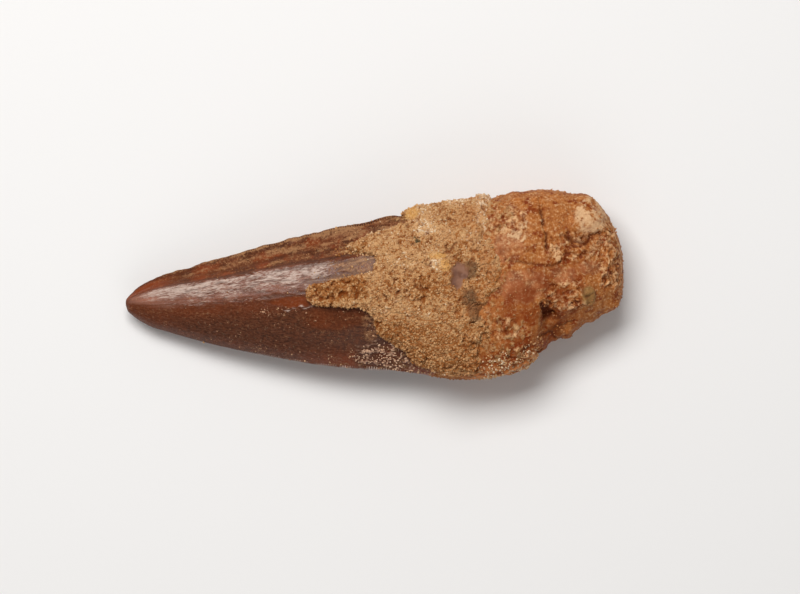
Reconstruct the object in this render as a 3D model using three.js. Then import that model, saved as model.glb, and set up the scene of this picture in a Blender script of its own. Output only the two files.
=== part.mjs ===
// A fossil tooth of a meat-eating dinosaur, lying on its side, with a crust of sandstone cemented to it.
// Millimetres. +X runs along the tooth from the tip of the crown to the broken end of the root, +Y runs
// from the front cutting edge to the rear cutting edge, and +Z points up from the surface it lies on.
// Two solids: the tooth (crown and root grew as one piece) and the sandstone crust.
//
// The skin of the tooth is a height over its own outline. A place on it is (x, around): around is in turns,
// 0 on the front cutting edge, 0.25 on the crest of the upper side, 0.5 on the rear cutting edge and 0.75
// under the tooth. "across" is the same place as a share of the half width, -1 at the front edge, +1 at the rear.
import * as THREE from "three";

// ---- driving dimensions ----
const TIP_X = -24.9; // tip of the crown
const ROOT_X = 24.95; // furthest point of the broken root
const POLE_INSET = 0.04; // how far in from both ends the first and last rings of the skin lie
const CROWN_ENDS = 2; // the section is all crown up to here ...
const ROOT_STARTS = 10; // ... and all root from here
const ROOT_ROUNDNESS = 2.6; // exponent of the root's rounded section
const ROOT_FULLNESS = 2.2;
const FLOOR_Z = 0; // the rubbed flat underneath lies on this plane

// Outline seen from above, [x, y]. Under the crust the rear edge is drawn in, like the neck of the tooth.
const REAR_EDGE = [
  [-24.9, -0.3], [-24.35, 0.58], [-23.1, 1.41], [-20.25, 2.4], [-15.2, 3.55], [-9.1, 4.95], [-3, 6.1],
  [1.6, 6.9], [4.2, 6.85], [7, 7.2], [11.4, 7.8], [12.7, 8.2], [15, 8.6], [17.1, 8.72], [18.7, 8.6],
  [20.1, 8.25], [21.9, 8.05], [22.95, 6.8], [23.95, 5.15], [24.65, 3.5], [24.95, 0.3],
];
const FRONT_EDGE = [
  [-24.9, -0.3], [-24.45, -1.22], [-23.3, -2.35], [-20.8, -3.5], [-15.5, -5.25], [-9.8, -6.7], [-5.2, -7.7],
  [0.2, -8.4], [3, -8.75], [5.3, -9.35], [7.6, -9.75], [10.4, -9.82], [12.4, -9.6], [13.8, -9.4],
  [15.1, -8.8], [15.95, -8.1], [16.45, -7.1], [17.3, -6.5], [18.9, -6.15], [19.6, -5.9], [20.4, -5.1],
  [22, -4.4], [23.7, -3.65], [24.5, -2.95], [24.8, -2], [24.95, 0.3],
];

// Seen from the side, [x, z]: the height of the cutting edges, then how far the crest stands above them
// and the belly below them.
const EDGE_HEIGHT = [[-24.9, 1.9], [-20, 2.45], [-10, 3.75], [0, 4.75], [10, 5.2], [20, 4.9], [24.95, 4.6]];
const CREST_RISE = [
  [-24.9, 0], [-24.3, 0.62], [-23, 1.15], [-20, 1.85], [-15, 2.45], [-10, 2.95], [-5, 3.4], [0, 3.8], [3, 3.95],
  [5.5, 3.8], [8, 4], [11, 4.25], [13, 4.85], [15, 4.95], [17, 4.7], [20, 4.3], [22, 3.8], [23.6, 3],
  [24.5, 1.9], [24.95, 0],
];
const BELLY_DROP = [
  [-24.9, 0], [-24.3, 0.6], [-23, 1.15], [-20, 1.95], [-15, 2.85], [-10, 3.65], [-6, 4.3], [0, 4.92], [8, 5.25],
  [14, 5.35], [18, 5.1], [20, 4.95], [22, 4.35], [23.6, 3.4], [24.5, 2.2], [24.95, 0],
];

// Shape of the crown's section, [across, share of the rise]. The upper side has a gently tilted band, a keel
// behind it and a hollow between the keel and the rear cutting edge. The underside is a plain lens.
const CROWN_UPPER = [
  [-1, 0], [-0.9, 0.22], [-0.75, 0.47], [-0.5, 0.75], [-0.25, 0.92], [-0.06, 0.99], [0.05, 1], [0.2, 0.965],
  [0.37, 0.905], [0.53, 0.835], [0.6, 0.745], [0.7, 0.52], [0.85, 0.25], [1, 0],
];
const CROWN_UNDER = [
  [-1, 0], [-0.9, 0.25], [-0.75, 0.52], [-0.5, 0.8], [-0.25, 0.955], [0, 1], [0.25, 0.955], [0.5, 0.8],
  [0.75, 0.52], [0.9, 0.25], [1, 0],
];

// Lumps (rise > 0) and hollows (rise < 0) of the root: centre x and y, half sizes along and across, rise.
const UPPER_RELIEF = [
  { x: 22.2, y: 5.7, along: 1.7, across: 1.4, rise: 0.9 }, // pale lump near the broken end
  { x: 21.3, y: 3.8, along: 2.2, across: 0.8, rise: -1.0 }, // split below that lump
  { x: 17.2, y: -3.9, along: 0.9, across: 1.3, rise: -2.1 }, // pit behind the ledge
  { x: 18.7, y: -5.0, along: 2.0, across: 1.4, rise: -1.3 }, // hollow that the pit opens into
  { x: 20.9, y: -1.7, along: 1.0, across: 1.2, rise: 0.55 }, // pebble in the root
  { x: 19.2, y: 1.0, along: 1.8, across: 1.6, rise: -0.45 },
  { x: 15.6, y: 5.6, along: 1.5, across: 1.8, rise: 0.35 },
  { x: 18.6, y: 7.0, along: 1.8, across: 1.2, rise: 0.5 },
  { x: 12.9, y: -7.6, along: 2.0, across: 1.2, rise: 0.45 },
  { x: 14.2, y: -1.2, along: 1.6, across: 1.6, rise: 0.3 },
  { x: 23.4, y: 0.6, along: 1.0, across: 1.6, rise: 0.45 },
  { x: 23.3, y: -2.5, along: 1.0, across: 0.9, rise: -0.5 },
  { x: 19.4, y: 5.3, along: 1.5, across: 0.9, rise: -0.45 },
  { x: 18.3, y: -1.5, along: 1.2, across: 1.3, rise: -0.4 },
  { x: 22.6, y: 2.2, along: 0.9, across: 1.2, rise: -0.45 },
];
const UNDER_RELIEF = [
  { x: 16.5, y: -6.2, along: 1.8, across: 1.6, rise: -0.9 },
  { x: 20.5, y: 5.2, along: 2.2, across: 1.4, rise: -0.9 },
  { x: 12.0, y: 5.8, along: 2.4, across: 1.3, rise: 0.35 },
  { x: 22.4, y: -1.4, along: 1.3, across: 1.8, rise: -0.7 },
  { x: 11.5, y: -6.6, along: 2.2, across: 1.2, rise: 0.3 },
];
const LEDGE = { x: 16.3, run: 0.5, y: -3.4, reach: 2.2, drop: 1.1, fade: 5 }; // outer layer of the root broken away

// The crust: its outline on the upper side, [x, y], from the front edge of the tooth to the rear edge.
// Along the crown it ends in two tongues; a strip of the front cutting edge stays bare.
const CRUST_FRONT = [[4.3, -8], [5.2, -8.2], [5.9, -8.55], [6.9, -8.95], [7.8, -9.15], [10.4, -9.2]];
const CRUST_CROWN_SIDE = [
  [4.3, -8], [3.8, -7.75], [3.2, -7.2], [2.7, -6.6], [2, -6], [1.1, -5.7], [0.7, -5.2], [0.1, -4.5],
  [0, -3.9], [-0.2, -3], [-0.8, -2.4], [-1.6, -1.9], [-3.2, -1.85], [-5.9, -1.75], [-6.6, -1.1], [-6.8, -0.4],
  [-6.5, 0.2], [-5.6, 0.6], [-3.2, 0.85], [-0.1, 1.2], [0.3, 2.1], [0.4, 3], [-1.6, 3.3], [-2.8, 3.9],
  [-2, 4.4], [0.4, 4.8], [2, 5.4], [3.7, 5.9], [3.6, 6.6],
];
const CRUST_ROOT_SIDE = [
  [10.4, -9.2], [10, -8.4], [9.9, -7.3], [10.1, -6], [11.4, -5.4], [12.8, -5], [11.2, -4.6], [10.2, -3.9],
  [10.3, -2.7], [11.2, -2], [12.2, -1.2], [12.6, -0.3], [12.7, 0.7], [12.7, 1.9], [11.9, 3], [11.7, 4],
  [11.6, 5.5], [11.8, 7],
];
const CRUST_REACH_UNDER = 0.6; // around: how far the crust wraps over the rear edge
const CRUST_UNDER_CROWN_SIDE = [[0.46, 3.2], [0.5, 3.1], [0.54, 4.2], [0.57, 4.6], [0.6, 5.8]]; // [around, x]
const CRUST_UNDER_ROOT_SIDE = [[0.46, 12], [0.5, 12.1], [0.53, 11.2], [0.56, 11.6], [0.6, 9.6]];
const CRUST_THICKNESS = 0.55;
const CRUST_BORDER_SHARE = 0.5; // how much of that thickness is left at its thinned borders
const CRUST_BORDER_ROWS = 3; // rows of faces over which it thins
const CRUST_SWELL = { x: 6.5, y: -1, along: 5.5, across: 8, rise: 0.4 }; // thickest over the neck of the tooth
const SEAT_GAP = 0.3; // clear space between the two solids

// Waviness of the worn surfaces: [wavelength along, wavelength across, turn, share]
const WAVES = [[5.3, 4.1, 0.4, 0.5], [2.9, 3.4, 1.9, 0.3], [1.9, 2.2, 4.1, 0.2]];
const ROOT_WAVINESS = 0.24;
const CRUST_WAVINESS = 0.2;

// How finely the skins are cut into faces
const TOOTH_RINGS = 64;
const TOOTH_FACES_AROUND = 46;
const CRUST_ROWS = 20;
const CRUST_COLUMNS = 44;

const TOOTH_COLOUR = 0x6b3a26;
const SANDSTONE_COLOUR = 0xb58a5a;

// ---- curves ----

/** Smooth curve through [distance, value] stations that never overshoots them. */
function curveThrough(stations) {
  const count = stations.length;
  const slope = [];
  for (let i = 0; i < count - 1; i++) {
    slope.push((stations[i + 1][1] - stations[i][1]) / (stations[i + 1][0] - stations[i][0]));
  }
  const tangent = slope.map((s, i) => {
    if (i === 0) return s;
    const before = slope[i - 1];
    return before * s <= 0 ? 0 : (2 * before * s) / (before + s);
  });
  tangent.push(slope[count - 2]);
  return (distance) => {
    const d = Math.min(Math.max(distance, stations[0][0]), stations[count - 1][0]);
    let i = 0;
    while (i < count - 2 && d > stations[i + 1][0]) i++;
    const [x0, y0] = stations[i];
    const [x1, y1] = stations[i + 1];
    const h = x1 - x0;
    const t = (d - x0) / h;
    const bend = t * t * (3 - 2 * t);
    const easeOut = t * (1 - t) * (1 - t);
    const easeIn = t * t * (t - 1);
    return y0 * (1 - bend) + y1 * bend + h * (easeOut * tangent[i] + easeIn * tangent[i + 1]);
  };
}

/** Straight runs between [distance, value] stations, for ragged borders. */
function raggedThrough(stations) {
  const sorted = [...stations].sort((a, b) => a[0] - b[0]);
  return (distance) => {
    const next = sorted.findIndex(([d]) => d >= distance);
    if (next === 0) return sorted[0][1];
    if (next < 0) return sorted[sorted.length - 1][1];
    const [d0, v0] = sorted[next - 1];
    const [d1, v1] = sorted[next];
    return THREE.MathUtils.mapLinear(distance, d0, d1, v0, v1);
  };
}

/** A curve over x that turns round bluntly at both ends of the tooth: it is smooth in the angle of a half turn. */
function bluntCurve(stations) {
  const angleAt = (x) => {
    const share = (x - TIP_X) / (ROOT_X - TIP_X);
    return Math.acos(THREE.MathUtils.clamp(1 - 2 * share, -1, 1));
  };
  const curve = curveThrough(stations.map(([x, value]) => [angleAt(x), value]));
  return (x) => curve(angleAt(x));
}

const rearEdge = bluntCurve(REAR_EDGE);
const frontEdge = bluntCurve(FRONT_EDGE);
const crestRise = bluntCurve(CREST_RISE);
const bellyDrop = bluntCurve(BELLY_DROP);
const edgeHeight = curveThrough(EDGE_HEIGHT);
const crownUpper = curveThrough(CROWN_UPPER);
const crownUnder = curveThrough(CROWN_UNDER);
const centreLine = (x) => (rearEdge(x) + frontEdge(x)) / 2;
const halfWidth = (x) => (rearEdge(x) - frontEdge(x)) / 2;

// ---- the skin of the tooth ----

const bump = (d) => (d < 1 ? (1 - d * d) ** 2 : 0);

function reliefOf(features, x, y) {
  let height = 0;
  for (const f of features) {
    height += f.rise * bump(Math.hypot((x - f.x) / f.along, (y - f.y) / f.across));
  }
  return height;
}

/** Drop of the surface where the outer layer of the root has broken away. */
function ledgeDrop(x, y) {
  const past = THREE.MathUtils.smoothstep(x, LEDGE.x, LEDGE.x + LEDGE.run);
  const beside = 1 - THREE.MathUtils.smoothstep(y, LEDGE.y - LEDGE.reach / 2, LEDGE.y + LEDGE.reach / 2);
  const fading = 1 - 0.6 * THREE.MathUtils.smoothstep(x, LEDGE.x + 1, LEDGE.x + LEDGE.fade);
  return LEDGE.drop * past * beside * fading;
}

function waviness(x, y, side) {
  let height = 0;
  for (const [along, across, turn, share] of WAVES) {
    const drift = Math.sin((2 * Math.PI * y) / (across * 2.3) + turn * side);
    height += share * Math.sin((2 * Math.PI * x) / along + turn + drift) * Math.cos((2 * Math.PI * y) / across + turn);
  }
  return height;
}

/** Share of the rise at a place across the section, blended from the crown's shape to the root's. */
function sectionShape(x, across, upper) {
  const crown = upper ? crownUpper(across) : crownUnder(across);
  const root = (1 - Math.abs(across) ** ROOT_ROUNDNESS) ** (1 / ROOT_FULLNESS);
  return THREE.MathUtils.lerp(crown, root, THREE.MathUtils.smoothstep(x, CROWN_ENDS, ROOT_STARTS));
}

/** Point of the tooth's skin at (x, around). */
function skin(x, around) {
  const across = THREE.MathUtils.clamp(-Math.cos(2 * Math.PI * around), -1, 1);
  const upper = Math.sin(2 * Math.PI * around) >= 0;
  const y = centreLine(x) + halfWidth(x) * across;
  const shape = sectionShape(x, across, upper);
  const rootShare = THREE.MathUtils.smoothstep(x, ROOT_STARTS, ROOT_STARTS + 4);
  const inland = Math.sqrt(Math.max(0, 1 - across * across));
  const waves = ROOT_WAVINESS * waviness(x, y, upper ? 1 : 2) * rootShare;
  if (upper) {
    const relief = waves + reliefOf(UPPER_RELIEF, x, y) - ledgeDrop(x, y);
    return new THREE.Vector3(x, y, edgeHeight(x) + crestRise(x) * shape + relief * inland);
  }
  const relief = waves + reliefOf(UNDER_RELIEF, x, y);
  return new THREE.Vector3(x, y, Math.max(FLOOR_Z, edgeHeight(x) - bellyDrop(x) * shape - relief * inland));
}

/** Outward direction of the skin at (x, around). */
function outward(x, around) {
  const alongStep = 0.2;
  const aroundStep = 0.01;
  const along = skin(x + alongStep, around).sub(skin(x - alongStep, around));
  const round = skin(x, around + aroundStep).sub(skin(x, around - aroundStep));
  return along.cross(round).normalize();
}

/** Closed mesh of a skin of rings and columns of points; pole points close both ends. */
function closedTube(rings, firstPole, lastPole) {
  const columns = rings[0].length;
  const points = [...rings.flat(), firstPole, lastPole];
  const first = points.length - 2;
  const last = points.length - 1;
  const lastRing = (rings.length - 1) * columns;
  const faces = [];
  for (let c = 0; c < columns; c++) {
    const next = (c + 1) % columns;
    faces.push(first, c, next);
    faces.push(last, lastRing + next, lastRing + c);
    for (let r = 0; r < rings.length - 1; r++) {
      const low = r * columns;
      const high = low + columns;
      faces.push(low + c, high + next, low + next);
      faces.push(low + c, high + c, high + next);
    }
  }
  return solidGeometry(points, faces);
}

function solidGeometry(points, faces) {
  const geometry = new THREE.BufferGeometry().setFromPoints(points);
  geometry.setIndex(faces);
  geometry.computeVertexNormals();
  return geometry;
}

function makeTooth() {
  const rings = [];
  const firstX = TIP_X + POLE_INSET;
  const lastX = ROOT_X - POLE_INSET;
  for (let r = 0; r < TOOTH_RINGS; r++) {
    const even = r / (TOOTH_RINGS - 1);
    const crowded = (1 - Math.cos(Math.PI * even)) / 2; // closer together towards both ends
    const x = THREE.MathUtils.lerp(firstX, lastX, 0.55 * even + 0.45 * crowded);
    const ring = [];
    for (let c = 0; c < TOOTH_FACES_AROUND; c++) ring.push(skin(x, c / TOOTH_FACES_AROUND));
    rings.push(ring);
  }
  const tip = new THREE.Vector3(TIP_X, centreLine(TIP_X), edgeHeight(TIP_X));
  const end = new THREE.Vector3(ROOT_X, centreLine(ROOT_X), edgeHeight(ROOT_X));
  const material = new THREE.MeshStandardMaterial({ color: TOOTH_COLOUR, roughness: 0.4, metalness: 0 });
  const tooth = new THREE.Mesh(closedTube(rings, tip, end), material);
  tooth.name = "tooth";
  return tooth;
}

// ---- the sandstone crust ----

/** around of a place on the upper side given as [x, y]. */
function aroundAt([x, y]) {
  const across = THREE.MathUtils.clamp((y - centreLine(x)) / halfWidth(x), -1, 1);
  return Math.acos(-across) / (2 * Math.PI);
}

const crustFront = raggedThrough(CRUST_FRONT.map((place) => [place[0], aroundAt(place)]));

/** Share of the way from the crust's front border to its far border. */
const columnShare = (x, around) => (around - crustFront(x)) / (CRUST_REACH_UNDER - crustFront(x));

/** A side border of the crust as a curve from column share to x. */
function sideBorder(upperPlaces, underPlaces) {
  const upper = upperPlaces.map((place) => [columnShare(place[0], aroundAt(place)), place[0]]);
  const under = underPlaces.map(([around, x]) => [columnShare(x, around), x]);
  return raggedThrough([...upper, ...under]);
}

const crownSide = sideBorder(CRUST_CROWN_SIDE, CRUST_UNDER_CROWN_SIDE);
const rootSide = sideBorder(CRUST_ROOT_SIDE, CRUST_UNDER_ROOT_SIDE);

function crustThickness(x, y, rowsFromBorder) {
  const full = CRUST_THICKNESS + reliefOf([CRUST_SWELL], x, y) + CRUST_WAVINESS * waviness(x * 1.3, y * 1.2, 3);
  const inside = THREE.MathUtils.smoothstep(rowsFromBorder, 0, CRUST_BORDER_ROWS);
  return full * THREE.MathUtils.lerp(CRUST_BORDER_SHARE, 1, inside);
}

function makeCrust() {
  const outer = [];
  const inner = [];
  for (let r = 0; r <= CRUST_ROWS; r++) {
    for (let c = 0; c <= CRUST_COLUMNS; c++) {
      const share = c / CRUST_COLUMNS;
      const x = THREE.MathUtils.lerp(crownSide(share), rootSide(share), r / CRUST_ROWS);
      const around = THREE.MathUtils.lerp(crustFront(x), CRUST_REACH_UNDER, share);
      const seat = skin(x, around);
      const out = outward(x, around);
      inner.push(seat.clone().addScaledVector(out, SEAT_GAP));
      const rowsFromBorder = Math.min(r, CRUST_ROWS - r, c, CRUST_COLUMNS - c);
      outer.push(seat.clone().addScaledVector(out, SEAT_GAP + crustThickness(x, seat.y, rowsFromBorder)));
    }
  }
  const columns = CRUST_COLUMNS + 1;
  const innerStart = outer.length;
  const faces = [];
  for (let r = 0; r < CRUST_ROWS; r++) {
    for (let c = 0; c < CRUST_COLUMNS; c++) {
      const a = r * columns + c;
      const b = a + 1;
      const d = a + columns;
      const e = d + 1;
      const squarer = outer[a].distanceTo(outer[e]) < outer[b].distanceTo(outer[d]);
      const halves = squarer ? [[a, e, b], [a, d, e]] : [[a, d, b], [b, d, e]];
      for (const [i, j, k] of halves) faces.push(i, j, k, innerStart + i, innerStart + k, innerStart + j);
    }
  }
  const wall = (from, to) => {
    faces.push(from, innerStart + to, innerStart + from, from, to, innerStart + to);
  };
  for (let c = 0; c < CRUST_COLUMNS; c++) {
    wall(c, c + 1);
    wall(CRUST_ROWS * columns + c + 1, CRUST_ROWS * columns + c);
  }
  for (let r = 0; r < CRUST_ROWS; r++) {
    wall((r + 1) * columns, r * columns);
    wall(r * columns + CRUST_COLUMNS, (r + 1) * columns + CRUST_COLUMNS);
  }
  const material = new THREE.MeshStandardMaterial({ color: SANDSTONE_COLOUR, roughness: 0.95, metalness: 0 });
  const crust = new THREE.Mesh(solidGeometry([...outer, ...inner], faces), material);
  crust.name = "sandstone_crust";
  return crust;
}

// ---- assembly, centred over the middle of its own footprint ----

const fossil = new THREE.Group();
fossil.add(makeTooth(), makeCrust());
const middle = new THREE.Box3().setFromObject(fossil).getCenter(new THREE.Vector3());
fossil.position.set(-middle.x, -middle.y, 0);

export default fossil;
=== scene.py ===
import math
from functools import cache

import bpy
import numpy as np
from bpy.props import FloatProperty, FloatVectorProperty, IntProperty, PointerProperty
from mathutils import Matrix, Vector, noise
from mathutils.bvhtree import BVHTree


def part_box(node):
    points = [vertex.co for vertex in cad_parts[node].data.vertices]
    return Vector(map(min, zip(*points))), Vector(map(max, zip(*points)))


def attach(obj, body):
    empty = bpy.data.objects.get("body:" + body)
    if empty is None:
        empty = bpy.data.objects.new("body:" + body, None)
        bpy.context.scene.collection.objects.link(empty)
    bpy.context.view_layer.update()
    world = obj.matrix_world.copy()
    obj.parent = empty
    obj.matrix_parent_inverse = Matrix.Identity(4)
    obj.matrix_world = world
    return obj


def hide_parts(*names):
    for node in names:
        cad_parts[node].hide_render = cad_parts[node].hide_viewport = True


bl_info = {
    "name": "Fossil tooth",
    "version": (1, 0, 0),
    "blender": (4, 5, 0),
    "location": "3D View > Sidebar > Fossil tooth",
    "description": "Dresses a fossil dinosaur tooth and the sandstone cemented to it",
    "category": "Object",
}

# Lengths in this file are millimetres unless they say otherwise; MM turns them into Blender's metres.
# X runs from the tip to the root, Y from the front cutting edge to the rear one.
MM = 0.001
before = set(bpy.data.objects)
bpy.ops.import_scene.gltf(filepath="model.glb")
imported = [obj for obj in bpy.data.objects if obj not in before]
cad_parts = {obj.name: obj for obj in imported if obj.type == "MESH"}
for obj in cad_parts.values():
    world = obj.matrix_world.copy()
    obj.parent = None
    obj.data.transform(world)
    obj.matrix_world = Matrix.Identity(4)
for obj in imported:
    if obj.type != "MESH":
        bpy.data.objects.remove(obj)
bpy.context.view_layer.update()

# Height of the two cutting edges above the ground along the tooth, (x, z).
EDGE_HEIGHT = ((-24.9, 1.9), (-20, 2.45), (-10, 3.75), (0, 4.75), (10, 5.2), (20, 4.9), (24.9, 4.6))
# The keel behind the pale band, in places across the tooth: -1 on the front cutting edge, 1 on the rear one.
KEEL = 0.55
# Lower border of the pale band, (x, across).
BAND_LOWER = ((-24.4, 0.05), (-23.4, -0.06), (-20.5, -0.2), (-17, -0.16), (-14, -0.09), (-11.6, -0.03),
              (-10.6, -0.02), (-9, 0.03), (-6.5, 0.06), (3, 0.14))
# Chips out of the rear cutting edge: x, half length, depth.
REAR_CHIPS = ((-18.4, 0.7, 0.13), (-16.9, 0.5, -0.06), (-0.5, 1.5, 0.3), (-9.5, 0.5, 0.07), (-5.2, 0.4, 0.06))
# Where a flake of enamel is off below the band, and the thin pale edge it left.
FLAKED = ((-11.2, -0.5), (-6.9, 0.05), (-6.2, -1.15), (-8.2, -1.25), (-9.8, -0.95))
FLAKE_EDGE = ((-9.2, -1.45), (-8.5, -1.5), (-7.9, -1.1), (-7.3, -1.05), (-6.8, -1.3), (-6.2, -1.2))
# Places where the outline is pushed out: x, y, reach, and how far along x and y.
BULGES = ((-24.55, -0.4, 0.5, -0.12, -0.2), (-24.0, -1.0, 0.9, -0.08, -0.17),
          (-22.6, -2.0, 1.6, -0.02, -0.12), (24.6, 3.8, 1.5, 0.16, 0.02), (24.3, -2.1, 1.3, 0.14, -0.02))

# Lines in the root, as plan positions (x, y) on the upper side, with half width and depth.
ROOT_CRACKS = (
    ([(16.9, 8.3), (16.87, 7.5), (17.07, 6.7), (17.04, 6), (17.3, 5.15), (17.4, 4.25), (17.3, 3.4)],
     0.14, 0.26),
    ([(13.2, 2.6), (13.9, 2.3), (15.3, 2), (16.6, 1.8), (17.4, 1.65), (17.9, 1.55), (18.6, 1.9)], 0.11, 0.18),
    ([(18.6, 1.9), (19.1, 2.75), (19.8, 2.8), (20.5, 2.5), (21.6, 2.7)], 0.09, 0.14),
    ([(14.9, 3.0), (15.4, 3.2), (15.9, 3.4)], 0.08, 0.10),
    ([(19.2, 4.45), (20.3, 3.8), (21.1, 3.65), (21.8, 4.3), (22.9, 4.55)], 0.17, 0.25),
    ([(16.6, -2.1), (16.8, -2.7), (16.9, -3.3), (17.6, -3.1)], 0.24, 0.40),
    ([(16.1, -5.4), (17.2, -4.9), (18.0, -5.6), (19.1, -5.8)], 0.13, 0.18),
    ([(11.0, -0.4), (11.7, -0.75), (12.4, -0.2)], 0.10, 0.14),
    ([(17.6, -4.5), (18.6, -4.3), (19.8, -4.0)], 0.10, 0.12),
)
# Pale veins in the root, the same way, with half width.
ROOT_VEINS = (
    ([(17.0, 1.7), (16.9, 0.8), (16.8, -0.1)], 0.09),
    ([(17.1, 1.5), (17.9, 0.9), (18.9, 0.3)], 0.08),
    ([(23.0, 3.9), (23.5, 4.1), (24.0, 3.6)], 0.09),
    ([(22.9, 4.4), (23.5, 4.5), (24.0, 4.1)], 0.08),
)

# Patches of the upper side, in plan: x, y, half length, half width, and a strength if there's a fifth number.
# Where the root is crumbly, where it's dusted with sand, and where it's smooth and pinkish:
ROOT_RUGGED = ((19.6, 3.4, 3.8, 2.0), (19.2, -1.4, 3.2, 2.0), (23.8, 2.4, 2.1, 4.8), (14.2, -7.6, 4.2, 2.0),
               (13.6, 6.2, 2.6, 2.0), (12.6, -4.4, 2.2, 1.6))
SANDY_ROOT = ((12.6, -5.4, 4.2, 3.8), (12.4, 6.6, 2.6, 2.6), (12.0, 0.8, 2.0, 2.4))
DUSTY_ROOT = (13.6, 5.8, 3.4, 3.4)
ROOT_PINK = ((13.4, 3.6, 2.6, 2.3), (14.6, -0.2, 3.8, 2.5), (18.8, 0.6, 1.9, 1.3), (21.6, 1.2, 1.8, 1.1))
# Pale mineral of the root, and its hollows, which are painted with shade:
ROOT_PALE = ((22.1, 7.2, 1.1, 0.7, 1.0), (21.9, 6.3, 1.7, 2.0, 1.05), (21.7, 5.3, 0.5, 0.6, 0.8),
             (21.2, 1.8, 0.4, 0.35, 1.0), (14.2, 4.9, 0.8, 0.45, 1.3), (14.8, 4.6, 0.5, 0.5, 1.2),
             (13.0, 5.5, 0.35, 0.3, 1.2), (15.2, 5.9, 0.35, 0.5, 1.1), (13.5, 4.3, 0.45, 0.35, 1.2),
             (17.0, 6.2, 0.28, 0.16, 1.6), (23.5, 6.0, 0.5, 0.5, 0.6), (22.6, -0.4, 0.4, 0.3, 0.6),
             (18.9, -2.4, 0.9, 0.5, 0.4))
ROOT_HOLLOWS = ((17.0, -2.8, 0.8, 1.1, 1.0), (17.9, -3.4, 0.9, 0.7, 0.6), (17.8, -4.6, 1.6, 1.2, 0.75),
                (21.2, 4.2, 1.6, 0.6, 0.5), (17.0, 5.85, 0.25, 0.16, 1.0))
PEBBLE = (21.2, -1.5, 0.9, 1.25)
# The small ring in the root: x, y, radius.
RING_MARK = (19.7, -1.2, 0.33)
# Deep red enamel below the band, and the dust beside the crust:
RED_WINDOW = (-4.0, -2.3, 4.6, 2.0)
BESIDE_CRUST = (-0.4, -3.7, 1.5, 2.6)
# The thin tail of sand along the flank, and the rows of grains and specks along the middle of the crown:
SAND_TAIL = (-1.4, 4.4, 2.9, 1.1)
TAIL_GRAINS = (-1.6, 4.3, 3.4, 1.0)
GRAIN_ROW = (-10.6, -1.45, 3.2, 0.55)
SPECK_ROW = (-10.2, -1.5, 4.2, 0.7)
# The rough skirt of sand in front of the crust, with its grit, its colours and its two places with grains:
SKIRT = (1.0, -6.5, 4.6, 2.5)
SKIRT_GRIT = (1.9, -6.7, 3.3, 2.6)
SKIRT_RED = (2.2, -6.6, 3.6, 2.4)
SKIRT_MILKY = (1.0, -6.6, 5.0, 2.9)
SKIRT_GRAINS = (1.9, -6.5, 3.0, 2.2)
SKIRT_START = (-1.3, -6.4, 2.2, 1.3)

# The corners of the bare window in the sandstone, and patches that differ from the rest:
PURPLE_WINDOW = ((8.1, 2.3), (8.9, 2.4), (9.6, 1.6), (9.2, 0.6), (8.4, -0.5), (7.7, 0.1), (7.9, 1.6))
GREY_PATCHES = ((9.5, -1.1, 1.1, 1.3), (10.0, -2.4, 1.1, 1.5), (9.6, 1.6, 1.2, 1.3))
GREEN_SPECKS = ((4.6, 4.25, 0.3, 0.24), (4.9, 4.35, 0.14, 0.3), (4.4, 4.5, 0.16, 0.16))
OCHRE_SPOTS = ((4.3, 7.0, 1.1, 0.6), (7.3, 2.1, 0.8, 0.8), (6.6, 3.0, 1.4, 0.4))
PALE_SAND = ((11.5, 6.8, 1.5, 2.2), (11.9, 8.6, 0.9, 0.7), (6.4, 2.2, 1.2, 0.8), (8.6, 8.0, 1.8, 0.8),
             (5.6, 5.6, 1.8, 1.2))
BROWN_SAND = (4.2, 0.6, 3.6, 2.6)
# The lower tongue of sandstone that runs out along the pale band.
TONGUE = (-3.4, 0.5, 4.0, 1.9)
# Where the sandstone is finer and smoother, and where it breaks up into crumbs.
CALM_SAND = ((5.6, -4.4, 3.4, 2.8), (1.9, 3.3, 1.8, 1.9), (8.0, 5.2, 1.8, 1.4))
BROKEN_SAND = ((-1.6, 4.5, 2.6, 1.3), (1.6, -5.6, 2.2, 1.9), (-0.9, -2.9, 1.0, 0.9))

# From where to where the cutting edges have saw teeth, and how thick, sunk in and raised those are.
FRONT_TEETH = (-24.0, 4.3)
REAR_TEETH = (-24.0, 3.2)
DENTICLE_THICKNESS = 0.16
SUNK = 0.13
RAISED = 0.08
# Grains and specks on each square millimetre of the tooth where they lie thickest.
STRAYS = 15
SPECKS = 30
# The crust's mesh: its cells' length, its spokes above and below, and how deep its inside is in the tooth.
CRUST_CELL = 0.115
CRUST_SPOKES = (230, 170)
CRUST_BURIED = 0.35
# Rounds of evening out the facets of the solid, for the tooth and under the crust.
TOOTH_EVENED = 22
CRUST_EVENED = 26
# What stands for a distance from a line on the side where the line isn't.
FAR_OFF = 99.0
# Width of the hollows rubbed into the grains of sand, which is also the range of their depth.
RUB = 0.09
# About a full turn, in radians.
FULL_TURN = 6.28


# ---- numbers over a surface ----


def smooth(value, start, stop):
    """0 before start, 1 past stop, easing in between; start may be the larger."""
    share = np.clip((value - start) / (stop - start), 0, 1)
    return share * share * (3 - 2 * share)


def bell(value, middle, width):
    """1 where the value is the middle, falling to nothing a few widths away."""
    return np.exp(-(((value - middle) / width) ** 2))


def most(*shares):
    """The largest of some shares at each point."""
    return np.maximum.reduce(shares)


def lumps(points, size, seed, octaves=3):
    """Fractal noise, about -1 to 1, whose largest lumps have the given size, or size along each axis."""
    places = points.reshape(-1, 3) / np.array(size) + seed * 7.31
    values = [noise.fractal(place, 0.9, 2.1, octaves) for place in places.tolist()]
    return np.array(values).reshape(points.shape[:-1])


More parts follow.
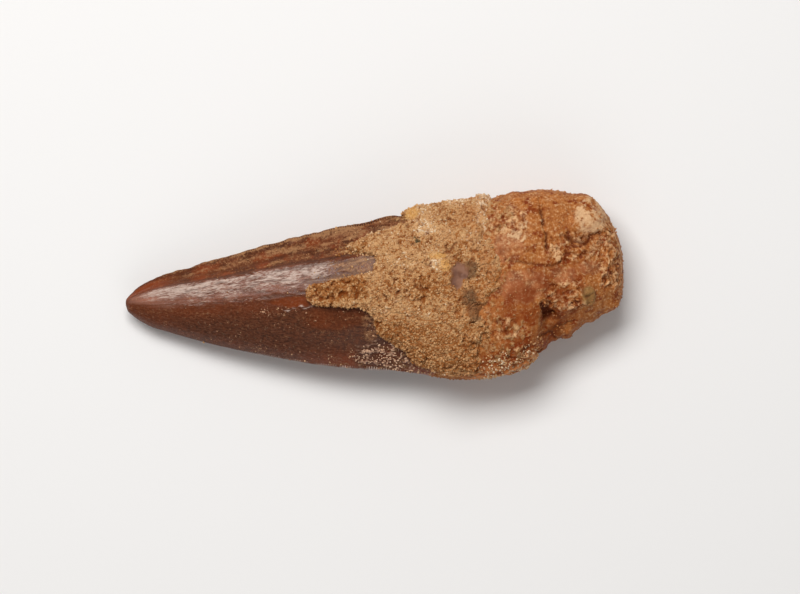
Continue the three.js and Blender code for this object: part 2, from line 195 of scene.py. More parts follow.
def pebbled(points, size, seed):
    """Rounded grains of the given size: 1 in the middle of each, 0 in the gaps between."""
    places = (points.reshape(-1, 3) / size + seed * 5.17).tolist()
    values = [noise.voronoi(place)[0] for place in places]
    return np.array([1 - min(1.0, v[0] * 1.6) for v in values]).reshape(points.shape[:-1])


def blur(field, rounds):
    """Spreads a field over its neighbours along both directions of a patch."""
    for _ in range(rounds):
        padded = np.pad(field, 1, mode="edge")
        field = (padded[:-2, 1:-1] + 2 * field + padded[2:, 1:-1]) / 4
        padded = np.pad(field, 1, mode="edge")
        field = (padded[1:-1, :-2] + 2 * field + padded[1:-1, 2:]) / 4
    return field


def solid_tree(node):
    """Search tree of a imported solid's faces, in mm."""
    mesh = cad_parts[node].data
    places = [v.co / MM for v in mesh.vertices]
    return BVHTree.FromPolygons(places, [p.vertices[:] for p in mesh.polygons])


class Skin:
    """The tooth's own surface as rings of points, for finer shapes to be built on.

    Spoke 0 of each ring lies on the front cutting edge, spoke "half" on the rear cutting edge and the spokes
    between them go over the upper side. "across" is -1 at the front edge and 1 at the rear one. "lie" is each
    point's place along and around the tooth, for what follows its surface.
    """

    def __init__(self, stations, above, below, evened):
        self.half = above
        upper = np.linspace(0, math.pi, above, endpoint=False)
        under = np.linspace(math.pi, 2 * math.pi, below, endpoint=False)
        self.turn = np.concatenate([upper, under])
        self.tree = solid_tree("tooth")
        self.points = np.array([self.ring(x) for x in stations])
        self.even_out(evened)
        self.push_out()
        self.measure()

    def cutting_edge(self, x, side):
        """The point of the solid that stands out furthest to one side at a station."""
        level = float(np.interp(x, *zip(*EDGE_HEIGHT)))
        best = None
        for rise in np.linspace(-0.4, 0.4, 17):
            hit = self.tree.ray_cast(Vector((x, side * 30, level + rise)), Vector((0, -side, 0)))[0]
            if hit is not None and (best is None or side * hit.y > side * best.y + 1e-4):
                best = hit
        return best

    def ring(self, x):
        """The points around the solid at a station, found from the middle between its cutting edges."""
        front = self.cutting_edge(x, -1)
        rear = self.cutting_edge(x, 1)
        centre = (front + rear) / 2
        rise = self.tree.ray_cast(centre, Vector((0, 0, 1)))[0].z - centre.z
        places = []
        for turn in self.turn:
            reach = (front if math.cos(turn) > 0 else rear) - centre
            aim = reach * abs(math.cos(turn)) + Vector((0, 0, rise * math.sin(turn)))
            places.append(self.tree.ray_cast(centre, aim.normalized())[0])
        places[0] = front
        places[self.half] = rear
        return [tuple(place) for place in places]

    def even_out(self, rounds):
        """Evens out the facets of the solid and keeps the cutting edges of the crown sharp."""
        crown = 1 - smooth(self.points[:, 0, 0], 3, 9)
        hold = np.zeros(self.points.shape[:2])
        hold[:, 0] = crown
        hold[:, self.half] = crown
        for _ in range(rounds):
            self.points[1:-1] = (self.points[:-2] + 2 * self.points[1:-1] + self.points[2:]) / 4
            around = (np.roll(self.points, 1, 1) + 2 * self.points + np.roll(self.points, -1, 1)) / 4
            self.points += (around - self.points) * (1 - hold)[..., None]

    def push_out(self):
        """Fills out the outline where the solid cuts corners."""
        for x, y, reach, along, across in BULGES:
            near = bell(np.hypot(self.points[..., 0] - x, self.points[..., 1] - y), 0, reach)
            self.points[..., 0] += along * near
            self.points[..., 1] += across * near

    def measure(self):
        """Works out the normals and each point's places along, across and over the tooth."""
        along = np.gradient(self.points, axis=0)
        around = np.roll(self.points, -1, 1) - np.roll(self.points, 1, 1)
        normals = np.cross(along, around)
        self.normals = normals / np.linalg.norm(normals, axis=2, keepdims=True)
        self.x = self.points[..., 0]
        self.y = self.points[..., 1]
        front = self.y[:, :1]
        rear = self.y[:, self.half : self.half + 1]
        self.across = (2 * self.y - front - rear) / (rear - front)
        self.upper = np.broadcast_to(np.sin(self.turn) > -1e-6, self.x.shape).astype(float)
        self.lie = np.stack([self.x, 5 * self.across, 9 * self.upper], -1)
        self.wander = [0.16 * self.lumps(0.7, seed, 2) for seed in (51, 52)]

    def lumps(self, size, seed, octaves=3):
        """Noise at the points' own places."""
        return lumps(self.points, size, seed, octaves)

    def streaks(self, length, width, seed, octaves=3):
        """Noise as streaks along the surface: length in mm, width in fifths of half the tooth's width."""
        return lumps(self.lie, (length, width, 9), seed, octaves)

    def past(self, start, stop):
        """0 before one station along the tooth, 1 past another."""
        return smooth(self.x, start, stop)

    def over(self, start, stop):
        """0 before one place across the tooth, 1 past another."""
        return smooth(self.across, start, stop)

    def patch(self, x, y, half_length, half_width):
        """A soft oval patch on the upper side, 1 in its middle; half_length is along the tooth."""
        far = ((self.x - x) / half_length) ** 2 + ((self.y - y) / half_width) ** 2
        return np.clip(1 - far, 0, 1) ** 2 * self.upper

    def spot(self, patch, start, stop):
        """A patch with a firmer border: 0 where it's fainter than start, 1 where it's stronger than stop."""
        return smooth(self.patch(*patch), start, stop)

    def spots(self, patches, seed):
        """Some patches with ragged borders."""
        ragged = 1 + 0.6 * self.lumps(0.4, seed)
        return most(*(smooth(self.patch(*patch) * ragged, 0.05, 0.5) for patch in patches))

    def from_line(self, line):
        """Distance of every point from a line on the upper side, in plan, where the line wanders a little."""
        x, y = self.x + self.wander[0], self.y + self.wander[1]
        nearest = np.full(x.shape, FAR_OFF)
        for (x0, y0), (x1, y1) in zip(line, line[1:]):
            share = ((x - x0) * (x1 - x0) + (y - y0) * (y1 - y0)) / ((x1 - x0) ** 2 + (y1 - y0) ** 2)
            share = np.clip(share, 0, 1)
            nearest = np.minimum(nearest, np.hypot(x - x0 - share * (x1 - x0), y - y0 - share * (y1 - y0)))
        return np.where(self.upper > 0, nearest, FAR_OFF)

    def inside(self, corners):
        """1 inside a polygon on the upper side."""
        within = np.zeros(self.x.shape, bool)
        for (x0, y0), (x1, y1) in zip(corners, corners[1:] + corners[:1]):
            crosses = (y0 > self.y) != (y1 > self.y)
            at = x0 + (self.y - y0) * (x1 - x0) / ((y1 - y0) or 1e-9)
            within ^= crosses & (self.x < at)
        return within * self.upper


# ---- meshes ----


def add_object(name, data):
    """An object of the scene that shows the given data."""
    added = bpy.data.objects.new(name, data)
    bpy.context.scene.collection.objects.link(added)
    return added


def store_field(mesh, name, values):
    """Gives each point of a mesh a named number, or a named place where there are three to a point."""
    if values.ndim == 1:
        mesh.attributes.new(name, "FLOAT", "POINT").data.foreach_set("value", values)
    else:
        mesh.attributes.new(name, "FLOAT_VECTOR", "POINT").data.foreach_set("vector", values.ravel())


def mesh_piece(name, places, faces, fields, material):
    """A mesh object from points in mm, with one named number per point for each field."""
    mesh = bpy.data.meshes.new(name)
    mesh.from_pydata((np.asarray(places) * MM).tolist(), [], faces)
    for field, values in fields.items():
        store_field(mesh, field, np.asarray(values, np.float32))
    mesh.polygons.foreach_set("use_smooth", [True] * len(mesh.polygons))
    mesh.materials.append(material)
    return add_object(name, mesh)


def tube_faces(rings, spokes):
    """Faces of a closed skin of rings, with a point at each end that closes it."""
    first = rings * spokes
    last = first + 1
    faces = []
    for spoke in range(spokes):
        beside = (spoke + 1) % spokes
        faces.append((first, spoke, beside))
        top = (rings - 1) * spokes
        faces.append((last, top + beside, top + spoke))
        for low in range(0, top, spokes):
            high = low + spokes
            faces.append((low + spoke, high + spoke, high + beside, low + beside))
    return faces


def grow(piece, tree, inputs):
    """Runs a geometry node tree on a piece, with inputs given by name, and keeps the result as its mesh."""
    modifier = piece.modifiers.new(tree.name, "NODES")
    modifier.node_group = tree
    for item in tree.interface.items_tree:
        if item.in_out == "INPUT" and item.name in inputs:
            modifier[item.identifier] = inputs[item.name]
    ready = piece.evaluated_get(bpy.context.evaluated_depsgraph_get())
    mesh = bpy.data.meshes.new_from_object(ready)
    piece.modifiers.clear()
    piece.data = mesh


# ---- node trees ----


class Wiring:
    """Adds nodes to a tree. A socket's value may be a number, a colour or the output that feeds it."""

    def __init__(self, tree):
        self.tree = tree

    def add(self, kind, values=None, **settings):
        """A node with the given settings, and with values for its inputs by name or number."""
        node = self.tree.nodes.new(kind)
        for setting, value in settings.items():
            setattr(node, setting, value)
        for socket, value in (values or {}).items():
            if isinstance(value, bpy.types.NodeSocket):
                self.tree.links.new(value, node.inputs[socket])
            else:
                node.inputs[socket].default_value = value
        return node

    def maths(self, operation, *values, clamp=False):
        kind = "ShaderNodeMath"
        return self.add(kind, dict(enumerate(values)), operation=operation, use_clamp=clamp).outputs[0]

    def times(self, first, second, clamp=False):
        return self.maths("MULTIPLY", first, second, clamp=clamp)

    def times_plus(self, first, second, more, clamp=False):
        return self.maths("MULTIPLY_ADD", first, second, more, clamp=clamp)

    def less(self, first, second):
        return self.maths("SUBTRACT", first, second)

    def vector(self, operation, values):
        return self.add("ShaderNodeVectorMath", values, operation=operation).outputs[0]

    def noise(self, where, size, detail=3.0, stretch=1.0, rough=0.55):
        """Cloudy noise from 0 to 1 with blotches of the given size in mm, longer along X by stretch."""
        spread = (1 / (size * stretch * MM), 1 / (size * MM), 1 / (size * MM))
        place = self.vector("MULTIPLY", {0: where, 1: spread})
        values = {"Vector": place, "Scale": 1.0, "Detail": detail, "Roughness": rough}
        return self.add("ShaderNodeTexNoise", values).outputs["Fac"]

    def step(self, value, start, stop):
        """0 below start, 1 above stop, easing between."""
        values = {"Value": value, "From Min": start, "From Max": stop}
        return self.add("ShaderNodeMapRange", values, interpolation_type="SMOOTHSTEP").outputs["Result"]

    def fit(self, value, low, high):
        """Stretches a value from 0 to 1 over another range."""
        values = {"Value": value, "To Min": low, "To Max": high}
        return self.add("ShaderNodeMapRange", values).outputs["Result"]

    def mix(self, share, *colours):
        """Two colours mixed; each is a plain colour or the output that feeds it."""
        first, second = (c if isinstance(c, bpy.types.NodeSocket) else (*c, 1.0) for c in colours)
        return self.add("ShaderNodeMix", {0: share, 6: first, 7: second}, data_type="RGBA").outputs[2]

    def coat(self, under, share, fullest, colour):
        """Lays a colour over another by a share, where fullest says how much of it covers at most."""
        return self.mix(self.times(share, fullest), under, colour)

    def field(self, name, output="Fac"):
        """What the points of a mesh hold under a name, in a material."""
        return self.add("ShaderNodeAttribute", attribute_name=name).outputs[output]

    def broken(self, share, clouds, spread=0.9, start=0.38, stop=0.62):
        """Breaks a soft share up by noise, so that its border is ragged and full of holes."""
        return self.step(self.times_plus(self.less(clouds, 0.5), spread, share), start, stop)

    def bump(self, strength, distance, height):
        """A bumpy normal; the distance is in mm."""
        values = {"Strength": strength, "Distance": distance * MM, "Height": height}
        return self.add("ShaderNodeBump", values).outputs[0]

    def random(self, seed, low=0.0, high=1.0):
        """A random number for each point, or a random vector between two vectors."""
        kind, first = ("FLOAT_VECTOR", 0) if isinstance(low, tuple) else ("FLOAT", 2)
        values = {first: low, first + 1: high, "Seed": seed}
        return self.add("FunctionNodeRandomValue", values, data_type=kind).outputs[first // 2]

    def named(self, name, kind):
        """What the points of a mesh hold under a name, in a geometry node tree."""
        return self.add("GeometryNodeInputNamedAttribute", {"Name": name}, data_type=kind).outputs[0]


def new_tree(name, kind, inputs, outputs):
    """A node tree with the given sockets, its wiring and the outputs that stand for what it's given."""
    tree = bpy.data.node_groups.new(name, kind)
    for direction, sockets in (("INPUT", inputs), ("OUTPUT", outputs)):
        for socket, value in sockets.items():
            tree.interface.new_socket(socket, in_out=direction, socket_type="NodeSocket" + value)
    wiring = Wiring(tree)
    return tree, wiring, wiring.add("NodeGroupInput").outputs


def new_material(name):
    """A material without a shader yet, its wiring, and each point's place on the object."""
    material = bpy.data.materials.new(name)
    material.use_nodes = True
    material.node_tree.nodes.clear()
    wiring = Wiring(material.node_tree)
    where = wiring.add("ShaderNodeTexCoord").outputs["Object"]
    return material, wiring, where


def finish_material(w, colour, rough, normal=None, gloss=0.5):
    """Adds the surface shader."""
    values = {"Base Color": colour, "Roughness": rough, "Specular IOR Level": gloss}
    if normal is not None:
        values["Normal"] = normal
    shader = w.add("ShaderNodeBsdfPrincipled", values)
    w.add("ShaderNodeOutputMaterial", {"Surface": shader.outputs[0]})


def paint(red, green, blue):
    """A display colour, 0 to 255 each, as the linear colour that Blender works in."""
    shares = (red / 255, green / 255, blue / 255)
    return tuple(s / 12.92 if s <= 0.04045 else ((s + 0.055) / 1.055) ** 2.4 for s in shares)


def shade(colour, gain):
    """A colour made lighter or darker."""
    return [c * gain for c in colour]


# ---- what a user may change ----


def length(name, description, default):
    """A setting that is a length, whose default is given in mm."""
    return FloatProperty(
        name=name, description=description, default=default * MM, subtype="DISTANCE", precision=6
    )


def tint(name, description, *default):
    """A setting that is a colour, whose default is given as a display colour, 0 to 255 each."""
    return FloatVectorProperty(
        name=name, description=description, default=paint(*default), subtype="COLOR", min=0, max=1
    )


class ToothSettings(bpy.types.PropertyGroup):
    """Sizes and colours of the tooth itself."""

    rings: IntProperty(name="Rings", description="Rings of the skin along the tooth", default=375)
    spokes_above: IntProperty(name="Spokes above", description="Points over the upper side", default=185)
    spokes_below: IntProperty(name="Spokes below", description="Points over the underside", default=75)
    wrinkle_depth: length("Wrinkle depth", "Depth of the long wrinkles of the enamel", 0.045)
    root_roughness: length("Root roughness", "Height of the small lumps of the root", 0.17)
    denticle_pitch: length("Denticle pitch", "Distance from one saw tooth to the next", 0.24)
    denticle_height: length("Denticle height", "How far the saw teeth stand out of the cutting edges", 0.19)
    enamel: tint("Enamel", "Dark enamel", 80, 42, 23)
    red_enamel: tint("Red enamel", "Enamel that lets light through", 140, 60, 19)
    # A pinkish haze over the pale band, which is also painted sheen.
    haze: tint("Haze", "Pinkish haze of the pale band", 138, 90, 72)
    # Pale weathered film in the wrinkles, which is also the colour of the painted highlight along the band
    # and on the saw teeth.
    film: tint("Film", "Pale weathered film in the wrinkles", 198, 174, 160)
    flank: tint("Flank", "Browner enamel behind the keel", 98, 50, 24)
    dust: tint("Dust", "Fine dust that clings behind the keel", 162, 118, 80)
    root: tint("Root", "Amber-brown root", 166, 101, 49)
    # Darker rust of the root, which is also the colour of the painted shade between crumbs, in hollows and in
    # cracks.
    root_deep: tint("Deep root", "Darker rust of the root", 124, 50, 8)
    # Painted highlight on the raised tops of the root's crumbs and knobs.
    root_highlight: tint("Light root", "Rubbed crumbs of the root", 220, 172, 124)
    rosy: tint("Rosy root", "Smooth pinkish root", 150, 90, 56)
    mineral: tint("Mineral", "Pale mineral in the root", 220, 180, 136)


class SandSettings(bpy.types.PropertyGroup):
    """Sizes and colours of the sandstone."""

    crowding: FloatProperty(
        name="Crowding", description="Grains on each square millimetre of the crust", default=21.0, min=0
    )
    smallest: length("Smallest grain", "Half size of the finest grains", 0.07)
    largest: length("Largest grain", "Half size of the coarsest grains", 0.19)
    golden: tint("Golden sand", "Most of the sand", 194, 149, 102)
    pale: tint("Pale sand", "Clear and milky grains", 228, 202, 168)
    brown: tint("Brown sand", "Iron-stained grains and gaps", 152, 94, 46)


class StageSettings(bpy.types.PropertyGroup):
    """The floor, the light and the camera."""

    floor: tint("Floor", "Pale floor", 236, 234, 232)
    key_power: FloatProperty(
        name="Key light", description="Power of the soft light", default=1.38, subtype="POWER"
    )
    fill: FloatProperty(name="Fill", description="Strength of the even light all round", default=0.25)
    camera_roll: FloatProperty(
        name="Camera roll", description="Turn of the camera about its line of sight",
        default=math.radians(-3), subtype="ANGLE",
    )
    camera_distance: FloatProperty(
        name="Camera distance", description="From the camera to the middle of the tooth", default=0.5555,
        subtype="DISTANCE",
    )


# ---- materials ----


# Colours that aren't settings.
CURLED_SAND = paint(188, 148, 122)
SANDY_DUST = paint(204, 160, 116)
PEBBLE_STONE = paint(150, 116, 68)
ORANGE_RIM = paint(224, 140, 80)
WINDOW_STONE = (paint(104, 66, 48), paint(134, 92, 70))
# How sandstone is stained: field, colour, share of the colour where the stain is fullest.
STAINS = (
    # Pits: their own orange-brown, with painted shade in them.
    ("pit", paint(124, 62, 18), 0.8),
    ("ochre", paint(218, 166, 96), 0.6),
    ("green", paint(60, 60, 40), 0.9),
    ("grey", paint(98, 68, 46), 0.75),
    ("rusty", paint(174, 104, 52), 0.45),
    ("milky", paint(204, 164, 138), 0.75),
    ("rooty", paint(170, 106, 58), 0.8),
)
STAIN_NAMES = [stain for stain, _, _ in STAINS]
# The stains that the crust itself carries; the others are on grains that sit on the tooth.
CRUST_STAINS = STAIN_NAMES[:-2]
# The colours of single grains, by their chance: where on the scale, which setting, how much lighter.
GRAIN_SCALE = ((0.0, "brown", 0.8), (0.2, "brown", 1.1), (0.4, "golden", 0.95), (0.65, "golden", 1.12),
               (0.85, "pale", 0.9), (1.0, "pale", 1.08))


def grain_cells_group():
    """Shader group: a surface cut into grains, each with a chance of its own and a rounded height."""
    inputs = {"Vector": "Vector", "Grain size": "Float"}
    _, w, given = new_tree("Grain cells", "ShaderNodeTree", inputs, {"Chance": "Float", "Height": "Float"})
    scale = w.maths("DIVIDE", 1.0, given["Grain size"])
    cells = w.add("ShaderNodeTexVoronoi", {"Vector": given["Vector"], "Scale": scale, "Randomness": 1.0})
    chance = w.add("ShaderNodeSeparateColor", {0: cells.outputs["Color"]}).outputs[0]
    w.add("NodeGroupOutput", {"Chance": chance, "Height": w.step(cells.outputs["Distance"], 0.8, 0.25)})


def sandstone_group(sand):
    """Shader group: the colour of sandstone, from the chance of a grain and the stains at its place."""
    inputs = {"Chance": "Float"} | {stain.capitalize(): "Float" for stain in STAIN_NAMES}
    _, w, given = new_tree("Sandstone colours", "ShaderNodeTree", inputs, {"Color": "Color"})
    ramp = w.add("ShaderNodeValToRGB", {0: given["Chance"]})
    elements = ramp.color_ramp.elements
    while len(elements) < len(GRAIN_SCALE):
        elements.new(0.5)
    for element, (position, setting, gain) in zip(elements, GRAIN_SCALE):
        element.position = position
        element.color = (*(min(1.0, c) for c in shade(getattr(sand, setting), gain)), 1.0)
    colour = ramp.outputs[0]
    for stain, stained, fullest in STAINS:
        colour = w.mix(w.times(given[stain.capitalize()], fullest, clamp=True), colour, stained)
    w.add("NodeGroupOutput", {"Color": colour})


def grain_cells(w, where, size):
    """The chance and the height of the grains at each place, for grains of the given size in mm."""
    values = {"Vector": where, "Grain size": size * MM}
    outputs = w.add("ShaderNodeGroup", values, node_tree=bpy.data.node_groups["Grain cells"]).outputs
    return outputs["Chance"], outputs["Height"]


def sandstone_colour(w, chance, stains=()):
    """The colour of sandstone in a material, with the stains whose fields the piece carries."""
    values = {"Chance": chance} | {stain.capitalize(): w.field(stain) for stain in stains}
    tree = bpy.data.node_groups["Sandstone colours"]
    return w.add("ShaderNodeGroup", values, node_tree=tree).outputs["Color"]


def crown_colour(w, where, tooth):
    """Colour of the enamel with its painted sheen and shade, how pale film and painted highlight cover it and
    how dusty it is.
    """
    lie = w.field("lie", "Vector")
    blotches = w.noise(where, 1.8, 3)
    streaks = w.noise(lie, 0.4, 3, stretch=6, rough=0.6)
    fine_streaks = w.noise(lie, 0.11, 5, stretch=4, rough=0.7)
    crumbs = w.noise(where, 0.26, 5, rough=0.75)

    warmth = w.times_plus(w.less(blotches, 0.5), 0.35, w.field("warm"))
    mottle = w.times_plus(crumbs, 0.5, w.times(fine_streaks, 0.5))
    colour = w.mix(w.step(mottle, 0.38, 0.62), shade(tooth.enamel, 0.55), shade(tooth.enamel, 1.6))
    colour = w.mix(w.step(warmth, 0.0, 1.0), colour, tooth.red_enamel)
    # Pinkish haze and painted sheen over the band, with a lighter painted highlight near the tip, where its
    # share passes 1.
    hazy_sheen = w.times(w.field("haze"), w.step(streaks, 0.2, 0.6), clamp=True)
    haze = w.mix(w.step(w.field("haze"), 1.0, 1.6), tooth.haze, shade(tooth.haze, 1.6))
    colour = w.coat(colour, hazy_sheen, 0.85, haze)

    mottle = w.times_plus(streaks, 0.6, w.times(crumbs, 0.4))
    flank = w.mix(w.step(mottle, 0.4, 0.6), shade(tooth.flank, 0.6), shade(tooth.flank, 1.45))
    flank = w.coat(flank, w.step(blotches, 0.48, 0.66), 0.5, tooth.red_enamel)
    colour = w.mix(w.field("flank"), colour, flank)
    dusting = w.times_plus(crumbs, 0.6, w.times(streaks, 0.4))
    dusty = w.broken(w.field("dust"), dusting, spread=4.3, start=0.22, stop=1.0)
    colour = w.coat(colour, dusty, 0.8, tooth.dust)
    # Pale film with painted highlight over the band.
    film_and_highlight_cover = w.broken(w.field("film"), fine_streaks, spread=3.8, start=0.02, stop=1.12)
    colour = w.coat(colour, film_and_highlight_cover, w.step(w.field("film"), 0.0, 0.2), tooth.film)
    # Dark wrinkles and streaks, with painted shade in the troughs and gaps and a painted shadow near the tip.
    colour = w.coat(colour, w.field("dashes"), 0.7, shade(tooth.enamel, 0.8))
    colour = w.coat(colour, w.field("curls"), 0.85, CURLED_SAND)
    return colour, film_and_highlight_cover, dusty, w.times_plus(fine_streaks, 0.6, streaks)


def root_colour(w, where, tooth):
    """Colour of the root, its fine grain and how crumbly it is, with painted light and shade on its crumbs
    and knobs.
    """
    stain = w.noise(where, 1.1, 4, rough=0.6)
    clouds = w.noise(where, 2.6, 3)
    grain = w.noise(where, 0.3, 5, rough=0.75)
    colour = w.mix(w.step(stain, 0.36, 0.5), tooth.root_deep, tooth.root)
    colour = w.mix(w.step(stain, 0.52, 0.64), colour, shade(tooth.root, 1.15))
    rosy = w.broken(w.field("rosy"), clouds, spread=2.2, start=0.15, stop=1.15)
    sheet = w.mix(w.step(stain, 0.38, 0.62), shade(tooth.rosy, 0.72), shade(tooth.rosy, 1.3))
    colour = w.coat(colour, rosy, 0.8, sheet)
    crumbly = w.less(w.times_plus(w.field("rugged"), 0.32, 0.68), w.times(rosy, 0.2))
    # Painted highlight on the crumbs' raised tops and painted shade between them, where the grain noise that
    # also lifts the bump is high and low.
    lit = w.times(w.step(grain, 0.52, 0.62), 0.9)
    colour = w.coat(colour, lit, crumbly, tooth.root_highlight)
    sunk = w.times(w.step(grain, 0.48, 0.37), 0.95)
    colour = w.coat(colour, sunk, crumbly, tooth.root_deep)
    dusted = w.broken(w.field("dust"), grain, spread=1.6, start=0.1, stop=1.1)
    colour = w.coat(colour, dusted, 0.75, SANDY_DUST)
    colour = w.coat(colour, w.field("rust"), 0.72, tooth.root_deep)
    # Painted highlight on the raised knobs and painted shade in the hollows between them.
    knobs = w.field("knobs")
    colour = w.coat(colour, w.step(knobs, 0.55, 0.85), w.step(grain, 0.38, 0.52), tooth.root_highlight)
    colour = w.coat(colour, w.step(knobs, 0.44, 0.15), 0.9, shade(tooth.root_deep, 0.7))
    return colour, grain, crumbly


def tooth_material(tooth):
    """Glossy brown enamel that turns into the duller amber-brown root."""
    material, w, where = new_material("fossil_tooth")
    crown, film_and_highlight_cover, dusty, streaks = crown_colour(w, where, tooth)
    root, grain, crumbly = root_colour(w, where, tooth)
    colour = w.mix(w.field("root"), crown, root)

    chance, sand_height = grain_cells(w, where, 0.24)
    chance = w.times_plus(chance, 0.5, w.times_plus(w.field("root"), -0.02, 0.08))
    gritty = w.broken(w.field("grit"), grain, spread=3.0, start=0.25, stop=1.0)
    colour = w.coat(colour, gritty, 0.85, sandstone_colour(w, chance))
    milky = w.broken(w.field("pale"), grain, spread=2.0, start=0.1, stop=1.35)
    colour = w.coat(colour, milky, 0.85, tooth.mineral)
    colour = w.mix(w.field("pebble"), colour, PEBBLE_STONE)
    colour = w.coat(colour, w.field("glow"), 0.72, ORANGE_RIM)
    # Painted shade in cracks, pores, pits and hollows.
    colour = w.mix(w.field("dark"), colour, shade(tooth.root_deep, 0.5))

    dull = w.maths("MAXIMUM", w.times(w.field("root"), 0.62), gritty)
    dull = w.maths("MAXIMUM", dull, w.times_plus(dusty, 0.35, w.times(w.field("flank"), 0.3)))
    dull = w.maths("MAXIMUM", dull, w.times(film_and_highlight_cover, 0.35))
    height = w.times(streaks, w.times_plus(w.field("haze"), 0.6, 0.15))
    crumbs = w.times(grain, w.times_plus(w.times(dull, crumbly), 2.4, 0.1))
    height = w.maths("ADD", height, crumbs)
    height = w.maths("ADD", height, w.times(sand_height, gritty))
    gloss = w.times(w.fit(dull, 0.27, 0.2), w.field("shine"))
    finish_material(w, colour, w.fit(dull, 0.27, 0.8), w.bump(0.7, 0.06, height), gloss)
    return material


def sandstone_material():
    """Golden sandstone of cemented grains."""
    material, w, where = new_material("sandstone")
    drift = w.noise(where, 1.6, 3)
    coarse, coarse_height = grain_cells(w, where, 0.3)
    fine, fine_height = grain_cells(w, where, 0.17)
    chance = w.times_plus(w.maths("ADD", coarse, fine), 0.34, w.less(w.field("light"), 0.1))
    chance = w.times_plus(w.less(drift, 0.5), 0.5, chance, clamp=True)
    window = w.mix(w.step(drift, 0.4, 0.6), *WINDOW_STONE)
    colour = w.mix(w.field("window"), sandstone_colour(w, chance, CRUST_STAINS), window)
    relief = w.maths("ADD", coarse_height, w.times(fine_height, 0.5))
    relief = w.times(relief, w.less(1.0, w.field("window")))
    finish_material(w, colour, w.fit(w.field("window"), 0.9, 0.5), w.bump(0.8, 0.07, relief), 0.15)
    return material


def grain_material():
    """Grains of sand, each with its own tint, stained like what they sit on."""
    material, w, where = new_material("sand_grain")
    mottle = w.noise(where, 0.12, 2)
    chance = w.times_plus(mottle, 0.2, w.times_plus(w.field("tint"), 0.55, w.field("light")), clamp=True)
    colour = sandstone_colour(w, chance, STAIN_NAMES)
    finish_material(w, colour, w.fit(mottle, 0.6, 0.85), w.bump(0.4, 0.02, mottle), 0.2)
    return material


def denticle_material(tooth):
    """The saw teeth of the cutting edges: the enamel, with the bigger teeth painted paler as their highlight.
    """
    material, w, where = new_material("denticle_enamel")
    worn = w.noise(where, 0.6, 3)
    tips = w.mix(w.step(worn, 0.38, 0.58), shade(tooth.flank, 1.3), tooth.film)
    # The bigger teeth are painted paler as a highlight.
    colour = w.mix(w.times(w.step(w.field("bigness"), 0.7, 1.15), 0.95), tooth.enamel, tips)
    finish_material(w, colour, w.fit(worn, 0.3, 0.55), w.bump(0.3, 0.02, w.noise(where, 0.08, 2)))
    return material


def floor_material(stage):
    """A dull pale floor with faint clouds."""
    material, w, where = new_material("studio_floor")
    cloud = w.noise(where, 40, 3)
    finish_material(w, w.mix(w.times(cloud, 0.06), stage.floor, shade(stage.floor, 0.9)), 0.9)
    return material


# ---- geometry node trees ----


def scatter_tree():
    """Grains of many sizes and tints scattered over a surface as thickly as one of its fields says."""
    inputs = {
        "Surface": "Geometry", "Cover field": "String", "Crowding": "Float", "Smallest": "Float",
        "Largest": "Float", "Seed": "Int", "Material": "Material",
    }
    tree, w, given = new_tree("Scatter grains", "GeometryNodeTree", inputs, {"Geometry": "Geometry"})
    crowding = w.times(w.named(given["Cover field"], "FLOAT"), given["Crowding"])
    points = w.add("GeometryNodeDistributePointsOnFaces", {
        "Mesh": given["Surface"], "Density": crowding, "Seed": given["Seed"],
    }).outputs["Points"]
    tinted = w.add("GeometryNodeStoreNamedAttribute", {
        "Geometry": points, "Name": "tint", "Value": w.random(given["Seed"]),
    }, data_type="FLOAT", domain="POINT").outputs[0]
    size = w.fit(w.maths("POWER", w.random(11), 1.5), given["Smallest"], given["Largest"])
    shape = w.random(23, (0.6, 0.5, 0.45), (1.8, 0.95, 0.85))
    grain = w.add("GeometryNodeMeshIcoSphere", {"Radius": 1.0, "Subdivisions": 1}).outputs["Mesh"]
    placed = w.add("GeometryNodeInstanceOnPoints", {
        "Points": tinted, "Instance": grain, "Rotation": w.random(37, (0, 0, 0), (FULL_TURN,) * 3),
        "Scale": w.vector("SCALE", {0: shape, "Scale": size}),
    }).outputs[0]
    real = w.add("GeometryNodeRealizeInstances", {"Geometry": placed}).outputs[0]
    rub = w.add("ShaderNodeTexNoise", {"Scale": 1 / (RUB * MM), "Detail": 0.0}).outputs["Color"]
    rub = w.vector("SUBTRACT", {0: rub, 1: (0.5, 0.5, 0.5)})
    rub = w.vector("SCALE", {0: rub, "Scale": RUB * MM})
    worn = w.add("GeometryNodeSetPosition", {"Geometry": real, "Offset": rub}).outputs[0]
    worn = w.add("GeometryNodeSetShadeSmooth", {"Geometry": worn, "Shade Smooth": True}).outputs[0]
    done = w.add("GeometryNodeSetMaterial", {"Geometry": worn, "Material": given["Material"]}).outputs[0]
    w.add("NodeGroupOutput", {"Geometry": done})
    return tree


